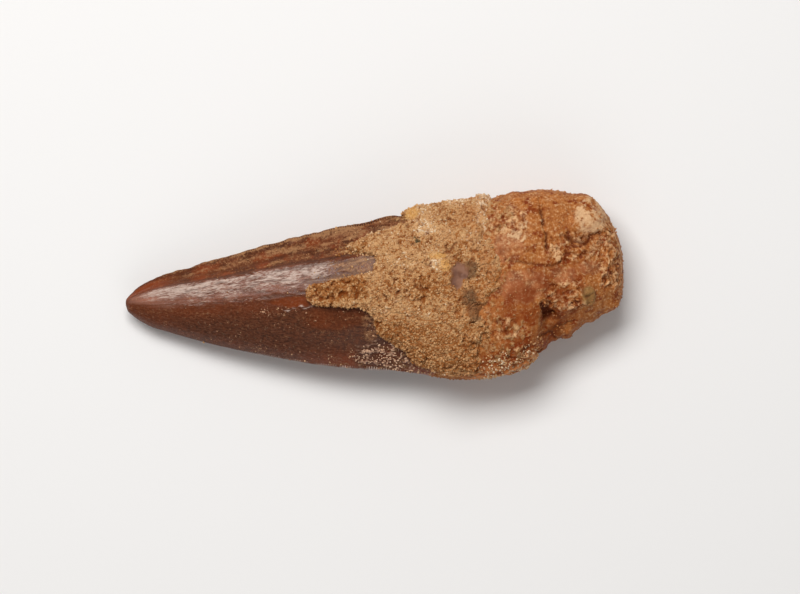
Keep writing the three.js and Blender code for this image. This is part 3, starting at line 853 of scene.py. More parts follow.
def denticle_tree():
    """A row of saw teeth along a line whose points say which way is out and how big the teeth are there."""
    inputs = {
        "Edge": "Geometry", "Pitch": "Float", "Height": "Float", "Thickness": "Float", "Material": "Material",
    }
    tree, w, given = new_tree("Row of denticles", "GeometryNodeTree", inputs, {"Geometry": "Geometry"})
    line = w.add("GeometryNodeMeshToCurve", {"Mesh": given["Edge"]}).outputs[0]
    marks = {"Curve": line, "Length": given["Pitch"]}
    marks = w.add("GeometryNodeResampleCurve", marks, mode="LENGTH").outputs[0]
    tangent = w.add("GeometryNodeInputTangent").outputs[0]
    turn = w.add("FunctionNodeAlignRotationToVector", {"Vector": tangent}, axis="X").outputs[0]
    turn = w.add("FunctionNodeAlignRotationToVector", {
        "Rotation": turn, "Vector": w.named("outward", "FLOAT_VECTOR"),
    }, axis="Z", pivot_axis="X").outputs[0]
    big = w.times(w.random(5, 0.75, 1.15), w.named("bigness", "FLOAT"))
    sides = (w.times(given["Pitch"], 0.3), w.times(given["Thickness"], big), w.times(given["Height"], big))
    shape = w.add("ShaderNodeCombineXYZ", dict(enumerate(sides))).outputs[0]
    tooth = w.add("GeometryNodeMeshUVSphere", {"Segments": 8, "Rings": 5, "Radius": 1.0}).outputs["Mesh"]
    placed = w.add("GeometryNodeInstanceOnPoints", {
        "Points": marks, "Instance": tooth, "Rotation": turn, "Scale": shape,
    }).outputs[0]
    real = w.add("GeometryNodeRealizeInstances", {"Geometry": placed}).outputs[0]
    done = w.add("GeometryNodeSetMaterial", {"Geometry": real, "Material": given["Material"]}).outputs[0]
    w.add("NodeGroupOutput", {"Geometry": done})
    return tree


# ---- the tooth ----


# The fields of a skin that more than one place asks for are worked out once and kept, by "cache".


@cache
def band_place(skin):
    """0 on the lower border of the pale band, 1 on the keel."""
    lower = np.interp(skin.x, *zip(*BAND_LOWER)) + 0.05 * skin.streaks(1.5, 0.8, 6, 4)
    return (skin.across - lower) / (KEEL - lower)


@cache
def flank_place(skin):
    """0 on the keel, 1 on the rear cutting edge."""
    return (skin.across - KEEL) / (1 - KEEL) + 0.03 * skin.streaks(1.2, 0.7, 32, 2)


@cache
def on_crown(skin):
    """1 on the upper side of the crown."""
    return (1 - skin.past(6, 10)) * skin.upper


@cache
def flaked_share(skin):
    """Where a flake of the enamel is off."""
    return smooth(blur(skin.inside(FLAKED), 5) + 0.25 * skin.lumps(0.9, 57), 0.25, 0.75)


@cache
def film_and_highlight_share(skin):
    """How thickly the pale film, which is also painted highlight, lies in the wrinkled band."""
    place = band_place(skin)
    band = smooth(place, -0.1, 0.42) * smooth(place, 1.07, 0.86)
    thick = 0.07 + 0.48 * smooth(place, 0.3, 0.7) + 0.52 * skin.streaks(1.5, 0.45, 42, 4)
    # A painted highlight streak just below the keel, from the tip back along the crown.
    thick += 0.45 * bell(place, 0.82, 0.14) * skin.past(-24.2, -22.5) * skin.past(-14, -19)
    thick += 0.12 * skin.past(-13, -9)
    tip = skin.past(-24.4, -22) * (0.75 + 0.25 * skin.past(-22, -19))
    worn = 1 - 0.9 * skin.past(-6, -2.5)
    covered = np.clip(band * thick, 0, 1) * tip * worn * (1 - flaked_share(skin))
    edge = 0.45 * bell(skin.from_line(FLAKE_EDGE), 0, 0.07)
    return most(covered, edge) * on_crown(skin)


@cache
def haze_and_sheen_share(skin):
    """The soft pinkish haze and painted sheen around the pale film, which reaches right to the tip and is
    painted lighter there as a highlight.
    """
    place = band_place(skin)
    lower = 0.3 * skin.past(-22, -18) - 0.25
    band = smooth(place, lower, 0.42) * smooth(place, 1.1, 0.9) * skin.past(-24.9, -24.2)
    # Past 1 near the tip, where the material paints a lighter highlight.
    thick = 1 + 0.35 * skin.past(-20.5, -22.5) - 0.95 * skin.past(-7, -3.5)
    # Painted sheen in streaks on the underside of the crown.
    under = 0.6 * (1 - skin.upper) * smooth(skin.streaks(5, 1.4, 61, 4), -0.05, 0.4) * skin.past(8, 4)
    return most(band * thick * (1 - flaked_share(skin)) * on_crown(skin), under)


@cache
def skirt_share(skin):
    """Where the crown is rough with sand in front of the crust."""
    return smooth(skin.patch(*SKIRT) * (1 + 0.5 * skin.lumps(0.8, 70, 2)), 0.05, 0.45)


@cache
def curled_sand(skin):
    """Thin curled ridges of sand in that rough place."""
    ridges = smooth(np.abs(skin.lumps(0.62, 68, 2)), 0.13, 0.04)
    return ridges * smooth(skin.lumps(1.0, 69, 2), -0.35, 0.05) * skirt_share(skin)


@cache
def dash_share(skin):
    """Dark wrinkles and streaks of the crown, and the gaps between the curled ridges of sand; the wrinkles,
    the trough beyond the keel and the gaps are also painted shade, and a painted shadow lies across the facet
    near the tip.
    """
    place = band_place(skin)
    flank = flank_place(skin)
    band = smooth(place, -0.1, 0.15) * smooth(place, 1.06, 0.98) * skin.past(-22, -18)
    wrinkles = smooth(skin.streaks(1.0, 0.17, 41), 0.14, 0.38)
    streaks = smooth(skin.streaks(4.0, 0.34, 71, 2), 0.08, 0.3) * skin.past(-14.5, -11)
    wrinkles = 0.8 * most(wrinkles, streaks)
    # Painted shade in the trough just beyond the keel.
    beyond_keel = bell(flank, 0.08, 0.07) * skin.past(-22.5, -19)
    beyond_keel *= smooth(skin.streaks(3, 0.8, 43, 2), -0.9, -0.2)
    lower_streak = bell(flank, 0.42, 0.08) * skin.past(-19, -16) * skin.past(-6, -9)
    # A painted shadow across the facet near the tip.
    facet = 0.6 * bell(flank, 0.4, 0.4) * bell(skin.x, -19, 2)
    gaps = skirt_share(skin) * (1 - curled_sand(skin))
    return most(band * wrinkles, beyond_keel, 0.7 * lower_streak, facet, gaps) * on_crown(skin)


def crown_relief(skin, depth):
    """Long wrinkles, the keel's broken rim, the hollow flank and small chips of the crown."""
    crown = 1 - skin.past(4, 9)
    relief = depth * skin.streaks(3.4, 0.55, 1, 2) * (0.2 + haze_and_sheen_share(skin)) * crown
    relief += 0.014 * skin.streaks(0.9, 0.2, 58, 2) * haze_and_sheen_share(skin)
    relief += 0.02 * film_and_highlight_share(skin) - 0.04 * dash_share(skin)
    flank = flank_place(skin)
    hollow = smooth(flank, 0.02, 0.24) * smooth(flank, 0.96, 0.55) * skin.upper
    relief -= 0.16 * hollow * crown * skin.past(-24, -17)
    keel = bell(skin.across, KEEL - 0.015, 0.035) * skin.upper * skin.past(-23, -19)
    relief += 0.05 * keel * crown * (1 + 1.2 * skin.lumps((1.3, 9, 9), 3))
    relief += 0.05 * smooth(flank, 0.1, 0.3) * skin.upper * crown * skin.lumps((0.7, 0.5, 0.5), 4, 2)
    relief += 0.04 * dust_share(skin) + 0.1 * curled_sand(skin)
    relief -= 0.03 * flaked_share(skin)
    relief += 0.014 * skin.lumps((1.2, 0.8, 0.8), 5, 2) * crown
    rear = skin.over(0.8, 0.97)
    for x, half_length, notch in REAR_CHIPS:
        relief -= notch * bell(skin.x, x, half_length) * rear
    relief += 0.04 * rear * crown * skin.lumps((0.7, 9, 9), 33, 2)
    return relief


@cache
def root_share(skin):
    """0 on the enamel, 1 on the root, with a ragged border."""
    border = 7.4 + 1.3 * skin.lumps(3.0, 7) - 2.0 * skin.over(-0.75, -1)
    border += (1 - skin.upper) * (2.2 * skin.lumps(2.4, 63, 4) - 1.5 * (1 - skin.across**2))
    return skin.past(border - 0.7, border + 0.9)


def rust_share(skin):
    """Where the root is deeper rust: its lower part, in clouds."""
    lower = skin.over(0.2, -0.2) * skin.past(11, 13.5) * skin.past(22, 18.5) * skin.upper
    clouds = smooth(skin.lumps(2.0, 64), -0.5, 0.2)
    return most(lower * clouds, rim_share(skin))


@cache
def rim_share(skin):
    """The coarse sandy strip along the front of the root, below the sandstone."""
    return skin.over(-0.68, -0.8) * skin.past(8, 11) * skin.past(17, 15)


def glow_share(skin):
    """The brighter orange rim of the root below the sandstone."""
    rim = skin.over(-0.82, -0.95) * skin.past(7.5, 10) * skin.past(16.8, 14.5)
    return rim * smooth(skin.lumps(0.8, 65), -0.5, 0.2)


@cache
def rugged_share(skin):
    """Where the root is crumbly instead of smooth."""
    ragged = 1 + 0.5 * skin.lumps(1.2, 17)
    patches = [smooth(skin.patch(*patch) * ragged, 0.02, 0.35) for patch in ROOT_RUGGED]
    under = (1 - skin.upper) * smooth(skin.lumps(3.0, 18), -0.2, 0.3)
    return most(*patches, 0.8 * under) * skin.past(9, 13)


@cache
def knobbly(skin):
    """Crumbs and hollows of the rugged parts of the root, from about -1 to 1."""
    crumbs = 1.3 * skin.lumps(0.75, 19)
    bent = np.hypot(skin.x - 14.5, (skin.y - 2) * 0.75) + 0.9 * skin.lumps(1.6, 9, 2)
    fibres = np.sin(2 * math.pi * bent / 0.48) * smooth(skin.lumps(1.1, 44, 2), -0.3, 0.1)
    end = skin.past(21.0, 22.8)
    return crumbs * (1 - 0.4 * end) + 0.5 * fibres * end


@cache
def pores(skin):
    """Small round holes in the rugged parts of the root."""
    return smooth(skin.lumps(0.55, 45, 1), 0.28, 0.5) * rugged_share(skin)


def root_relief(skin, roughness):
    """Lumps, fibres, pits and cracks of the root."""
    root = skin.past(8, 13)
    rugged = rugged_share(skin)
    relief = roughness * skin.lumps(1.6, 8) * (0.5 + 0.4 * rugged)
    fine = 0.45 * skin.lumps(0.6, 31, 2) + 0.3 * skin.lumps(0.32, 59, 1)
    relief += roughness * fine * (0.35 + 0.65 * rugged) + 0.07 * grit_share(skin)
    relief += roughness * knobbly(skin) * rugged - 0.14 * pores(skin)
    outline = smooth(-skin.across, 0.84, 0.96) * skin.past(15, 17) + 0.3 * skin.over(0.84, 0.96)
    relief += 0.34 * skin.lumps((1.2, 1.2, 2.5), 46, 2) * outline
    relief *= root
    for line, width, depth in ROOT_CRACKS:
        relief -= depth * bell(skin.from_line(line), 0, width) * root
    relief += 0.1 * paleness(skin)
    relief += 0.2 * skin.spot(PEBBLE, 0.0, 0.3)
    return relief + 0.06 * bell(ring_mark_distance(skin), 0, 0.09)


@cache
def ring_mark_distance(skin):
    """Distance from the rim of the small ring in the root."""
    x, y, radius = RING_MARK
    return np.where(skin.upper > 0, np.hypot(skin.x - x, skin.y - y) - radius, FAR_OFF)


def cracked(skin):
    """How much painted shade each point gets for lying in a crack, pore, pit or hollow, and inside the small
    ring.
    """
    broken = smooth(skin.lumps(0.9, 47, 2), -0.55, 0.0)
    ragged = 1 + 0.5 * skin.lumps(0.6, 48, 2)
    dark = [0.7 * bell(ring_mark_distance(skin), -0.3, 0.12), 0.55 * pores(skin)]
    for line, width, depth in ROOT_CRACKS:
        dark.append((0.3 + 2.5 * depth) * bell(skin.from_line(line), 0, width * 1.25) * broken)
    for *patch, strength in ROOT_HOLLOWS:
        dark.append(strength * smooth(skin.patch(*patch) * ragged, 0.1, 0.8))
    return np.clip(most(*dark), 0, 1) * skin.past(9, 13)


@cache
def paleness(skin):
    """Where the root shows pale mineral."""
    fine = 0.9 + 2.4 * skin.lumps(0.5, 12)
    broad = 1 + 1.3 * skin.lumps(1.1, 12, 4)
    pale = [0.6 * bell(ring_mark_distance(skin), 0, 0.1)]
    for line, width in ROOT_VEINS:
        pale.append(0.6 * bell(skin.from_line(line), 0, width))
    for x, y, half_length, half_width, strength in ROOT_PALE:
        patch = skin.patch(x, y, half_length * 1.5, half_width * 1.5)
        pale.append(strength * smooth(patch * (broad if half_length > 1 else fine), 0.1, 0.8))
    return np.clip(most(*pale), 0, 1)


@cache
def grit_share(skin):
    """How thickly fine sand sticks to the tooth."""
    crown = 1 - skin.past(6, 10)
    flank = skin.over(0.5, 0.66) * skin.past(-20, -5) * crown * skin.upper
    clouds = smooth(skin.lumps((2.6, 1.1, 1.1), 13, 4), -0.15, 0.35)
    front = skin.over(-0.72, -0.9) * skin.past(-12, 1) * crown
    around_crust = skin.past(-1, 3) * crown * 0.5
    under = (1 - skin.upper) * 0.35 * smooth(skin.lumps(3.5, 14, 4), 0.0, 0.4)
    root = skin.past(9, 12) * skin.past(15, 11.5) * 0.6 * smooth(skin.lumps(1.4, 15, 4), -0.25, 0.3)
    root *= 1 - 0.8 * skin.spots(ROOT_PINK, 50)
    patches = [skin.patch(*SAND_TAIL), 0.3 * skin.patch(*SKIRT_GRIT)]
    patches += [0.52 * skin.spot(patch, 0.0, 0.6) for patch in SANDY_ROOT]
    share = most(0.2 * flank * clouds, 0.4 * front * clouds, around_crust * clouds, under, root, *patches)
    share = np.clip(share, 0, 1)
    clumps = smooth(share + skin.lumps(0.55, 66), 0.3, 0.85) * smooth(share, 0.05, 0.3)
    return np.where(skin.upper > 0, share + (clumps - share) * skin.past(9, 12), share)


def flank_share(skin):
    """The hollow flank behind the keel, browner than the rest of the crown."""
    return smooth(flank_place(skin), -0.08, 0.16) * skin.past(-22, -17) * on_crown(skin)


@cache
def dust_share(skin):
    """Dust on the flank, thickest towards the rear edge and the sandstone, with a streak along the keel."""
    flank = flank_place(skin)
    dust = smooth(flank, 0.2, 0.75) * (0.25 + 0.3 * skin.past(-20, -9))
    dust += 0.4 * bell(flank, 0.23, 0.08) * skin.past(-15, -12) * skin.past(1, -3)
    dust += 0.35 * smooth(flank, 0.84, 0.95) * skin.past(-23.5, -21) * skin.past(0, -5)
    clouds = skin.streaks(1.7, 0.5, 49, 4) * (0.25 + 0.75 * skin.past(-21, -16))
    dust += 0.5 * clouds * smooth(flank, 0.1, 0.3)
    dust *= smooth(flank, 0.05, 0.15) * skin.past(-23.5, -20)
    band = smooth(band_place(skin), 0.0, 0.3) * smooth(band_place(skin), 1.0, 0.9)
    beside_crust = 0.42 * skin.spot(BESIDE_CRUST, 0.0, 0.5)
    up_to_crust = 0.75 * smooth(skin.x + 3 * skin.streaks(2.4, 0.4, 43), -6.5, -3)
    dust = most(dust, band * up_to_crust, beside_crust)
    on_root = 0.38 * skin.spot(DUSTY_ROOT, 0.0, 0.5) * skin.past(9, 11) * skin.upper
    return most(np.clip(dust, 0, 1) * on_crown(skin), on_root)


def warmth(skin):
    """Where light comes through the enamel and turns it red."""
    flank = flank_place(skin)
    tip_facet = 0.6 * smooth(flank, -0.1, 0.25) * smooth(flank, 1.0, 0.7) * skin.past(-16.5, -22)
    near_band = 0.28 * np.maximum(smooth(band_place(skin), -0.8, 0.0), skin.past(-17, -22))
    flaked = 0.42 * flaked_share(skin)
    window = 0.25 * skin.spot(RED_WINDOW, 0.0, 0.5)
    rim = 0.55 * skin.over(-0.6, -0.95) * (0.35 + 0.65 * skin.past(-11, 0))
    toward_root = 0.6 * skin.past(2, 7)
    under = 0.7 * smooth(np.abs(skin.across), 0.5, 1.0) + 0.5 * skin.lumps((6, 3, 3), 62, 2)
    skirt = 0.6 * skin.spot(SKIRT_RED, 0.0, 0.5)
    upper = most(tip_facet, near_band, flaked, window, rim, toward_root, skirt)
    return np.clip(np.where(skin.upper > 0, upper, np.maximum(under, toward_root)), 0, 1.2)


def shine(skin):
    """How much of the enamel's shine is kept: least on the root, the flank and the deep red places."""
    flank = smooth(flank_place(skin), -0.08, 0.16) * on_crown(skin)
    red = 0.8 * skin.spot(RED_WINDOW, 0.0, 0.5)
    return 1 - 0.5 * most(root_share(skin), flank, red, 0.8 * flaked_share(skin))


def stations_along(start, stop, count):
    """Stations along the tooth, closest together at its ends and closer on the root than on the crown."""
    fine = np.linspace(start + 0.04, stop - 0.04, 20000)
    from_end = np.minimum(fine - start, stop - fine)
    crowding = np.maximum(4.6 + 5.4 * smooth(fine, 5, 9), 1 / (0.02 + 0.3 * from_end))
    passed = np.concatenate([[0], np.cumsum(crowding[:-1])])
    return np.interp(np.linspace(0, passed[-1], count), passed, fine)


def make_tooth_piece(settings):
    """The tooth as a closed fine mesh with its relief; its rings come first among the points, in order."""
    low, high = (np.array(corner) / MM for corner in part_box("tooth"))
    stations = stations_along(low[0], high[0], settings.rings)
    skin = Skin(stations, settings.spokes_above, settings.spokes_below, TOOTH_EVENED)
    relief = crown_relief(skin, settings.wrinkle_depth / MM) + root_relief(skin, settings.root_roughness / MM)
    fade = smooth(np.minimum(skin.x - low[0], high[0] - skin.x), 0.0, 0.9)
    fields = {
        "root": root_share(skin),
        "warm": warmth(skin),
        "lie": skin.lie * MM,
        "film": film_and_highlight_share(skin),
        "haze": haze_and_sheen_share(skin),
        "dashes": dash_share(skin),
        "dust": dust_share(skin),
        "grit": grit_share(skin),
        "dark": cracked(skin),
        "pale": paleness(skin),
        "rugged": rugged_share(skin),
        "knobs": 0.5 + 0.5 * np.clip(knobbly(skin) * rugged_share(skin) + 0.1 * skin.past(21, 23), -1, 1),
        "rosy": skin.spots(ROOT_PINK, 50),
        "rust": rust_share(skin),
        "glow": glow_share(skin),
        "pebble": 0.7 * skin.spot(PEBBLE, 0.0, 0.4),
        "shine": shine(skin),
        "rooty": root_share(skin) * (1 - 0.85 * rim_share(skin)),
        "milky": most(skin.spot(SKIRT_MILKY, 0.0, 0.35), 0.6 * skin.over(0.2, -0.1) * on_crown(skin)),
        "curls": curled_sand(skin),
        "flank": flank_share(skin),
        "strays": stray_share(skin),
        "specks": speck_share(skin),
        "light": grit_lightness(skin),
    }
    places = skin.points + skin.normals * (relief * fade)[..., None]
    places[..., 2] = np.maximum(places[..., 2], 0)
    ends = [places[0].mean(0) - (0.03, 0, 0), places[-1].mean(0) + (0.03, 0, 0)]
    flat = np.concatenate([places.reshape(-1, 3), ends])
    values = {name: capped(field) for name, field in fields.items()}
    return mesh_piece("tooth_skin", flat, tube_faces(*skin.x.shape), values, tooth_material(settings))


def grit_lightness(skin):
    """Shifts the mix of the grains on the tooth towards pale or brown."""
    light = 0.18 - 0.3 * skin.past(-1, -4) + 0.1 * bell(skin.x, 1.5, 3)
    return light + 0.25 * rim_share(skin) - 0.15 * skin.spot(SAND_TAIL, 0.0, 0.3)


def capped(field):
    """A field of the skin as a flat list, with a value for the point that closes each end."""
    ends = field[[0, -1]].mean(1)
    return np.concatenate([field.reshape(-1, *field.shape[2:]), ends])


def stray_share(skin):
    """Where single grains stick to the bare tooth, from none to the crowding of the crust."""
    crown = 1 - skin.past(8, 12)
    anywhere = 0.004 * crown * skin.past(-22, -12)
    flank = 0.06 * dust_share(skin) * skin.past(-19, -8)
    row = 0.12 * skin.spot(GRAIN_ROW, 0.1, 0.6)
    lip = 0.06 * skin.over(-0.8, -0.92) * skin.past(-14, -4) * crown
    skirt = most(0.8 * skin.spot(SKIRT_GRAINS, 0.05, 0.5), 0.5 * skin.spot(SKIRT_START, 0.05, 0.6))
    edge_strip = 0.5 * skin.past(1, 4) * skin.past(16, 13) * skin.over(-0.82, -0.93)
    rim = 0.8 * rim_share(skin) * smooth(skin.lumps(0.7, 67), -0.4, 0.1)
    tail = 0.7 * skin.spot(TAIL_GRAINS, 0.05, 0.5)
    root = 0.18 * skin.past(9, 11) * smooth(skin.lumps(1.6, 16), -0.1, 0.3)
    under = 0.03 * (1 - skin.upper)
    share = most(anywhere, flank, row, lip, skirt, most(edge_strip, rim) * skin.upper, tail, root, under)
    return np.clip(share, 0, 1) * smooth(skin.points[..., 2], 0.3, 0.7)


def speck_share(skin):
    """Where specks of sand too fine to call grains stick to the bare tooth."""
    crown = 1 - skin.past(8, 12)
    lip = skin.over(-0.45, -0.85) * skin.over(-0.98, -0.94) * skin.past(-21, -17) * crown
    lip *= smooth(skin.lumps(1.4, 60), -0.3, 0.3)
    row = skin.spot(SPECK_ROW, 0.05, 0.5)
    anywhere = 0.02 * skin.past(-22, -14) * crown
    flank = 0.3 * dust_share(skin)
    root = 0.16 * skin.past(9, 13)
    share = most(0.16 * lip, 0.4 * row, anywhere, flank, root)
    return share * skin.upper * smooth(skin.points[..., 2], 0.3, 0.7)


def edge_line(name, tooth, spokes, spoke, first, last):
    """The line of a cutting edge of the finished tooth, with which way is out and how big its teeth are."""
    flat = np.empty(3 * len(tooth.data.vertices))
    tooth.data.vertices.foreach_get("co", flat)
    rings = (len(tooth.data.vertices) - 2) // spokes
    places = flat[: 3 * rings * spokes].reshape(rings, spokes, 3)[:, spoke] / MM
    places = places[(places[:, 0] > first) & (places[:, 0] < last)]
    side = np.sign(places[:, 1].mean())
    run = np.gradient(places, axis=0)
    outward = np.stack([-run[:, 1] * side, run[:, 0] * side, np.zeros(len(places))], 1)
    outward /= np.linalg.norm(outward, axis=1, keepdims=True)
    places = places - SUNK * outward + (0, 0, RAISED)
    mesh = bpy.data.meshes.new(name)
    mesh.from_pydata((places * MM).tolist(), [(i, i + 1) for i in range(len(places) - 1)], [])
    store_field(mesh, "outward", outward.astype(np.float32))
    bigness = 0.45 + 0.55 * smooth(places[:, 0], -24, -6)
    bigness *= 1 + 0.55 * bell(places[:, 0], -1.2, 2.2) if side < 0 else 0.62
    store_field(mesh, "bigness", bigness.astype(np.float32))
    return add_object(name, mesh)


# ---- the sandstone ----


def crust_thickness(skin):
    """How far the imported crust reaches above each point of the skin, and 0 where there is none."""
    tree = solid_tree("sandstone_crust")
    far = 3.0
    reach = np.zeros(skin.x.shape)
    starts = skin.points + skin.normals * far
    for place in np.ndindex(reach.shape):
        hit, _, _, distance = tree.ray_cast(Vector(starts[place]), Vector(-skin.normals[place]), far - 0.1)
        if hit is not None:
            reach[place] = far - distance
    return reach


def make_crust_piece():
    """The sandstone as a closed mesh that lies on the tooth and thins out to ragged borders."""
    low, high = (np.array(corner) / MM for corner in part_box("sandstone_crust"))
    skin = Skin(np.arange(low[0] - 1.2, high[0] + 1.2, CRUST_CELL), *CRUST_SPOKES, CRUST_EVENED)
    reach = crust_thickness(skin)
    there = (reach > 0.3).astype(float)
    height = blur(np.where(there > 0, reach, 0), 18) / np.maximum(blur(there, 18), 0.05)
    gentle = skin.past(6.5, 10.5)
    cover = blur(there, 5) * (1 - gentle) + blur(there, 90) * gentle
    ragged = 0.34 * skin.lumps(0.8, 21, 4) + 0.2 * skin.lumps(0.3, 22, 2)
    inside = cover + ragged * (0.6 + 0.4 * skin.past(6, 10)) - 0.35 * skin.spots(BROKEN_SAND, 35)
    rounded = smooth(inside, 0.34, 0.86) ** (0.55 + 0.5 * gentle)
    lively = (1 - 0.75 * skin.spots(CALM_SAND, 34)) * (0.45 + 0.6 * smooth(skin.lumps(2.4, 53, 2), -0.3, 0.3))
    lively = most(lively, 1.3 * skin.spot(TONGUE, 0.0, 0.3), 1.6 * skin.over(-0.74, -0.88) * skin.past(4, 7))
    pits = smooth(skin.lumps(0.42, 24, 2), 0.1, 0.4) * lively
    bare = smooth(blur(skin.inside(PURPLE_WINDOW), 8) + 0.3 * skin.lumps(0.6, 54, 2), 0.3, 0.8)
    rough = 0.17 * skin.lumps(0.6, 55, 2) * lively + 0.12 * skin.lumps(1.7, 23, 2)
    rough += 0.05 * pebbled(skin.points, 0.4, 1)
    thickness = (height * (0.95 - 0.25 * gentle) + rough * (1 - bare) - 0.2 * pits * (1 - bare)) * rounded
    thickness -= 0.16 * bare
    thickness = np.where(inside > 0.3, thickness, -0.2) - 0.06 * (1 - rounded)
    thickness = np.minimum(thickness, height + 0.05)
    thickness += 0.36 * bell(skin.x, 11.6, 0.9) * skin.over(0.8, 0.98) * rounded

    used = (inside > 0.22) & (cover > 0.01)
    outer = skin.points + skin.normals * thickness[..., None]
    inner = skin.points - skin.normals * CRUST_BURIED
    outer[..., 2] = np.maximum(outer[..., 2], 0.02)
    cover = smooth(thickness, 0.1, 0.3) * (1 - bare) * (1 - 0.35 * gentle) * (1 - 0.7 * pits)
    fields = {
        "cover": np.clip(cover, 0, 1),
        "light": crust_lightness(skin),
        "pit": pits,
        "ochre": skin.spots(OCHRE_SPOTS, 25),
        "green": skin.spots(GREEN_SPECKS, 26),
        "grey": skin.spots(GREY_PATCHES, 27),
        "rusty": most(0.62 * gentle * smooth(skin.lumps(1.6, 28, 4), -0.3, 0.25), skin.over(-0.8, -0.97)),
        "window": bare,
    }
    return sheet_piece("sandstone_skin", outer, inner, used, fields, sandstone_material())


def crust_lightness(skin):
    """Shifts the mix of grains towards pale or brown over the crust, browner on its front slope as painted
    shade.
    """
    light = 0.08 + 0.3 * skin.spots(PALE_SAND, 29)
    light += 0.05 * skin.over(-0.2, 0.6)
    light -= 0.10 * skin.patch(*BROWN_SAND) + 0.16 * skin.spot(TONGUE, 0.0, 0.4)
    # Painted shade: browner grains on the front slope, above the rim.
    light -= 0.12 * skin.over(-0.25, -0.55) * skin.over(-0.95, -0.8)
    light += 0.45 * skin.over(-0.82, -0.97)
    return light + 0.12 * skin.lumps(2.2, 30)


def sheet_piece(name, outer, inner, used, fields, material):
    """A closed sheet from an outer and an inner grid of points, kept only where used says."""
    rings, spokes = used.shape
    cells = used[:-1, :-1] & used[1:, :-1] & used[:-1, 1:] & used[1:, 1:]
    count = rings * spokes
    faces = []
    for ring, spoke in zip(*np.nonzero(cells)):
        a = int(ring) * spokes + int(spoke)
        b, c, d = a + 1, a + spokes, a + spokes + 1
        faces.append((a, c, d, b))
        faces.append((count + a, count + b, count + d, count + c))
        if ring == 0 or not cells[ring - 1, spoke]:
            faces.append((a, b, count + b, count + a))
        if ring == cells.shape[0] - 1 or not cells[ring + 1, spoke]:
            faces.append((d, c, count + c, count + d))
        if spoke == 0 or not cells[ring, spoke - 1]:
            faces.append((c, a, count + a, count + c))
        if spoke == cells.shape[1] - 1 or not cells[ring, spoke + 1]:
            faces.append((b, d, count + d, count + b))
    places = np.concatenate([outer.reshape(-1, 3), inner.reshape(-1, 3)])
    kept = sorted({index for face in faces for index in face})
    place_of = {old: new for new, old in enumerate(kept)}
    faces = [tuple(place_of[index] for index in face) for face in faces]
    buried = np.zeros(count)
    values = {key: np.concatenate([field.ravel(), buried])[kept] for key, field in fields.items()}
    return mesh_piece(name, places[kept], faces, values, material)


def scattered(name, surface, field, crowding, smallest, largest, seed, material):
    """Grains of sand over a surface, as a piece of its own."""
    piece = add_object(name, surface.data.copy())
    tree = bpy.data.node_groups.get("Scatter grains") or scatter_tree()
    grow(piece, tree, {
        "Cover field": field, "Crowding": crowding / MM**2, "Smallest": smallest, "Largest": largest,
        "Seed": seed, "Material": material,
    })
    return piece


# ---- the stage ----


# What the camera looks at, straight down, and its lens, sensor and nearest distance.
CAMERA_AIM = (2.56, -0.69, 3.5)
LENS = 250
SENSOR = 36
NEAREST = 10
# What the lights are turned towards.
LIGHT_AIM = (0, 0, 5)
# The floor reaches this far to each side.
FLOOR = 900


def area_light(name, long, wide, power, place):
    """A soft light with sides and a place in mm."""
    lamp = bpy.data.lights.new(name, "AREA")
    lamp.shape = "RECTANGLE"
    lamp.size = long * MM
    lamp.size_y = wide * MM
    lamp.energy = power
    light = add_object(name, lamp)
    light.location = [v * MM for v in place]
    aim = Vector([v * MM for v in LIGHT_AIM]) - light.location
    light.rotation_euler = aim.to_track_quat("-Z", "Y").to_euler()


# ---- operators ----


class FOSSIL_OT_tooth(bpy.types.Operator):
    """Make the tooth: crown and root as one piece"""

    bl_idname = "fossil.tooth"
    bl_label = "Tooth"

    def execute(self, context):
        piece = make_tooth_piece(context.scene.fossil_tooth)
        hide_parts("tooth")
        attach(piece, "root")
        return {"FINISHED"}


class FOSSIL_OT_denticles(bpy.types.Operator):
    """Cut the saw teeth of both cutting edges"""

    bl_idname = "fossil.denticles"
    bl_label = "Denticles"

    def execute(self, context):
        settings = context.scene.fossil_tooth
        tooth = bpy.data.objects["tooth_skin"]
        spokes = settings.spokes_above + settings.spokes_below
        tree = denticle_tree()
        material = denticle_material(settings)
        rows = (("front_denticles", 0, FRONT_TEETH), ("rear_denticles", settings.spokes_above, REAR_TEETH))
        for name, spoke, (first, last) in rows:
            piece = edge_line(name, tooth, spokes, spoke, first, last)
            grow(piece, tree, {
                "Pitch": settings.denticle_pitch, "Height": settings.denticle_height,
                "Thickness": DENTICLE_THICKNESS * MM, "Material": material,
            })
            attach(piece, "root")
        return {"FINISHED"}


class FOSSIL_OT_sandstone(bpy.types.Operator):
    """Make the crust of sandstone"""

    bl_idname = "fossil.sandstone"
    bl_label = "Sandstone crust"

    def execute(self, context):
        piece = make_crust_piece()
        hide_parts("sandstone_crust")
        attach(piece, "root")
        return {"FINISHED"}


class FOSSIL_OT_grains(bpy.types.Operator):
    """Scatter grains of sand over the crust and the tooth"""

    bl_idname = "fossil.grains"
    bl_label = "Sand grains"

    def execute(self, context):
        sand = context.scene.fossil_sand
        material = grain_material()
        crust = bpy.data.objects["sandstone_skin"]
        tooth = bpy.data.objects["tooth_skin"]
        small, large = sand.smallest, sand.largest
        pieces = (
            scattered("crust_grains", crust, "cover", sand.crowding, small, large, 3, material),
            scattered("stray_grains", tooth, "strays", STRAYS, small * 1.2, large * 0.9, 8, material),
            scattered("fine_grains", tooth, "specks", SPECKS, small * 0.4, small, 13, material),
        )
        for piece in pieces:
            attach(piece, "root")
        return {"FINISHED"}


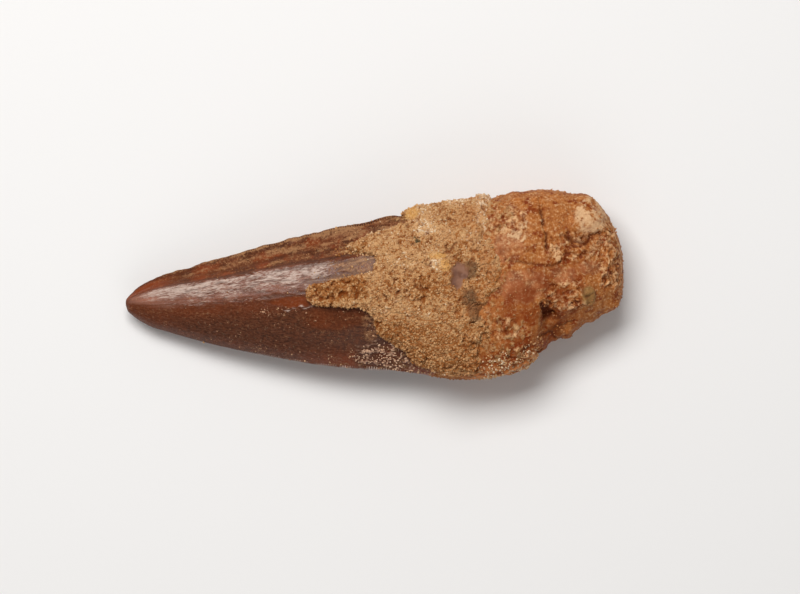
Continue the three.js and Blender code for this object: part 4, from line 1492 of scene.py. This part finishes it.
class FOSSIL_OT_stage(bpy.types.Operator):
    """Set the floor, the light and the camera"""

    bl_idname = "fossil.stage"
    bl_label = "Stage"

    def execute(self, context):
        scene = context.scene
        stage = scene.fossil_stage
        scene.view_settings.view_transform = "Standard"
        corners = [(-FLOOR, -FLOOR, 0), (FLOOR, -FLOOR, 0), (FLOOR, FLOOR, 0), (-FLOOR, FLOOR, 0)]
        floor = mesh_piece("floor", corners, [(0, 1, 2, 3)], {}, floor_material(stage))

        scene.world = bpy.data.worlds.new("even_light")
        scene.world.use_nodes = True
        inputs = scene.world.node_tree.nodes["Background"].inputs
        inputs["Color"].default_value = (1.0, 1.0, 1.0, 1.0)
        inputs["Strength"].default_value = stage.fill
        area_light("key_light", 240, 160, stage.key_power, (-60, 170, 340))
        area_light("fill_light", 400, 200, stage.key_power * 0.15, (50, -320, 240))

        lens = bpy.data.cameras.new("camera")
        lens.lens = LENS
        lens.sensor_width = SENSOR
        lens.clip_start = NEAREST * MM
        scene.camera = add_object("camera", lens)
        x, y, z = CAMERA_AIM
        scene.camera.location = (x * MM, y * MM, z * MM + stage.camera_distance)
        scene.camera.rotation_euler = (0, 0, stage.camera_roll)
        return {"FINISHED"}


class FOSSIL_PT_panel(bpy.types.Panel):
    """Lists the pieces of the fossil tooth"""

    bl_idname = "FOSSIL_PT_panel"
    bl_label = "Fossil tooth"
    bl_space_type = "VIEW_3D"
    bl_region_type = "UI"
    bl_category = "Fossil tooth"

    def draw(self, context):
        for operator in OPERATORS:
            self.layout.operator(operator.bl_idname)
        for group in (context.scene.fossil_tooth, context.scene.fossil_sand, context.scene.fossil_stage):
            box = self.layout.box()
            for setting in group.bl_rna.properties.keys()[2:]:
                box.prop(group, setting)


OPERATORS = (FOSSIL_OT_tooth, FOSSIL_OT_denticles, FOSSIL_OT_sandstone, FOSSIL_OT_grains, FOSSIL_OT_stage)
CLASSES = (ToothSettings, SandSettings, StageSettings, *OPERATORS, FOSSIL_PT_panel)


def register():
    for kind in CLASSES:
        bpy.utils.register_class(kind)
    bpy.types.Scene.fossil_tooth = PointerProperty(type=ToothSettings)
    bpy.types.Scene.fossil_sand = PointerProperty(type=SandSettings)
    bpy.types.Scene.fossil_stage = PointerProperty(type=StageSettings)


def unregister():
    del bpy.types.Scene.fossil_stage
    del bpy.types.Scene.fossil_sand
    del bpy.types.Scene.fossil_tooth
    for kind in reversed(CLASSES):
        bpy.utils.unregister_class(kind)


def main():
    register()
    grain_cells_group()
    sandstone_group(bpy.context.scene.fossil_sand)
    bpy.ops.fossil.tooth()
    bpy.ops.fossil.denticles()
    bpy.ops.fossil.sandstone()
    bpy.ops.fossil.grains()
    bpy.ops.fossil.stage()
    bpy.context.view_layer.update()


if __name__ == "__main__":
    main()
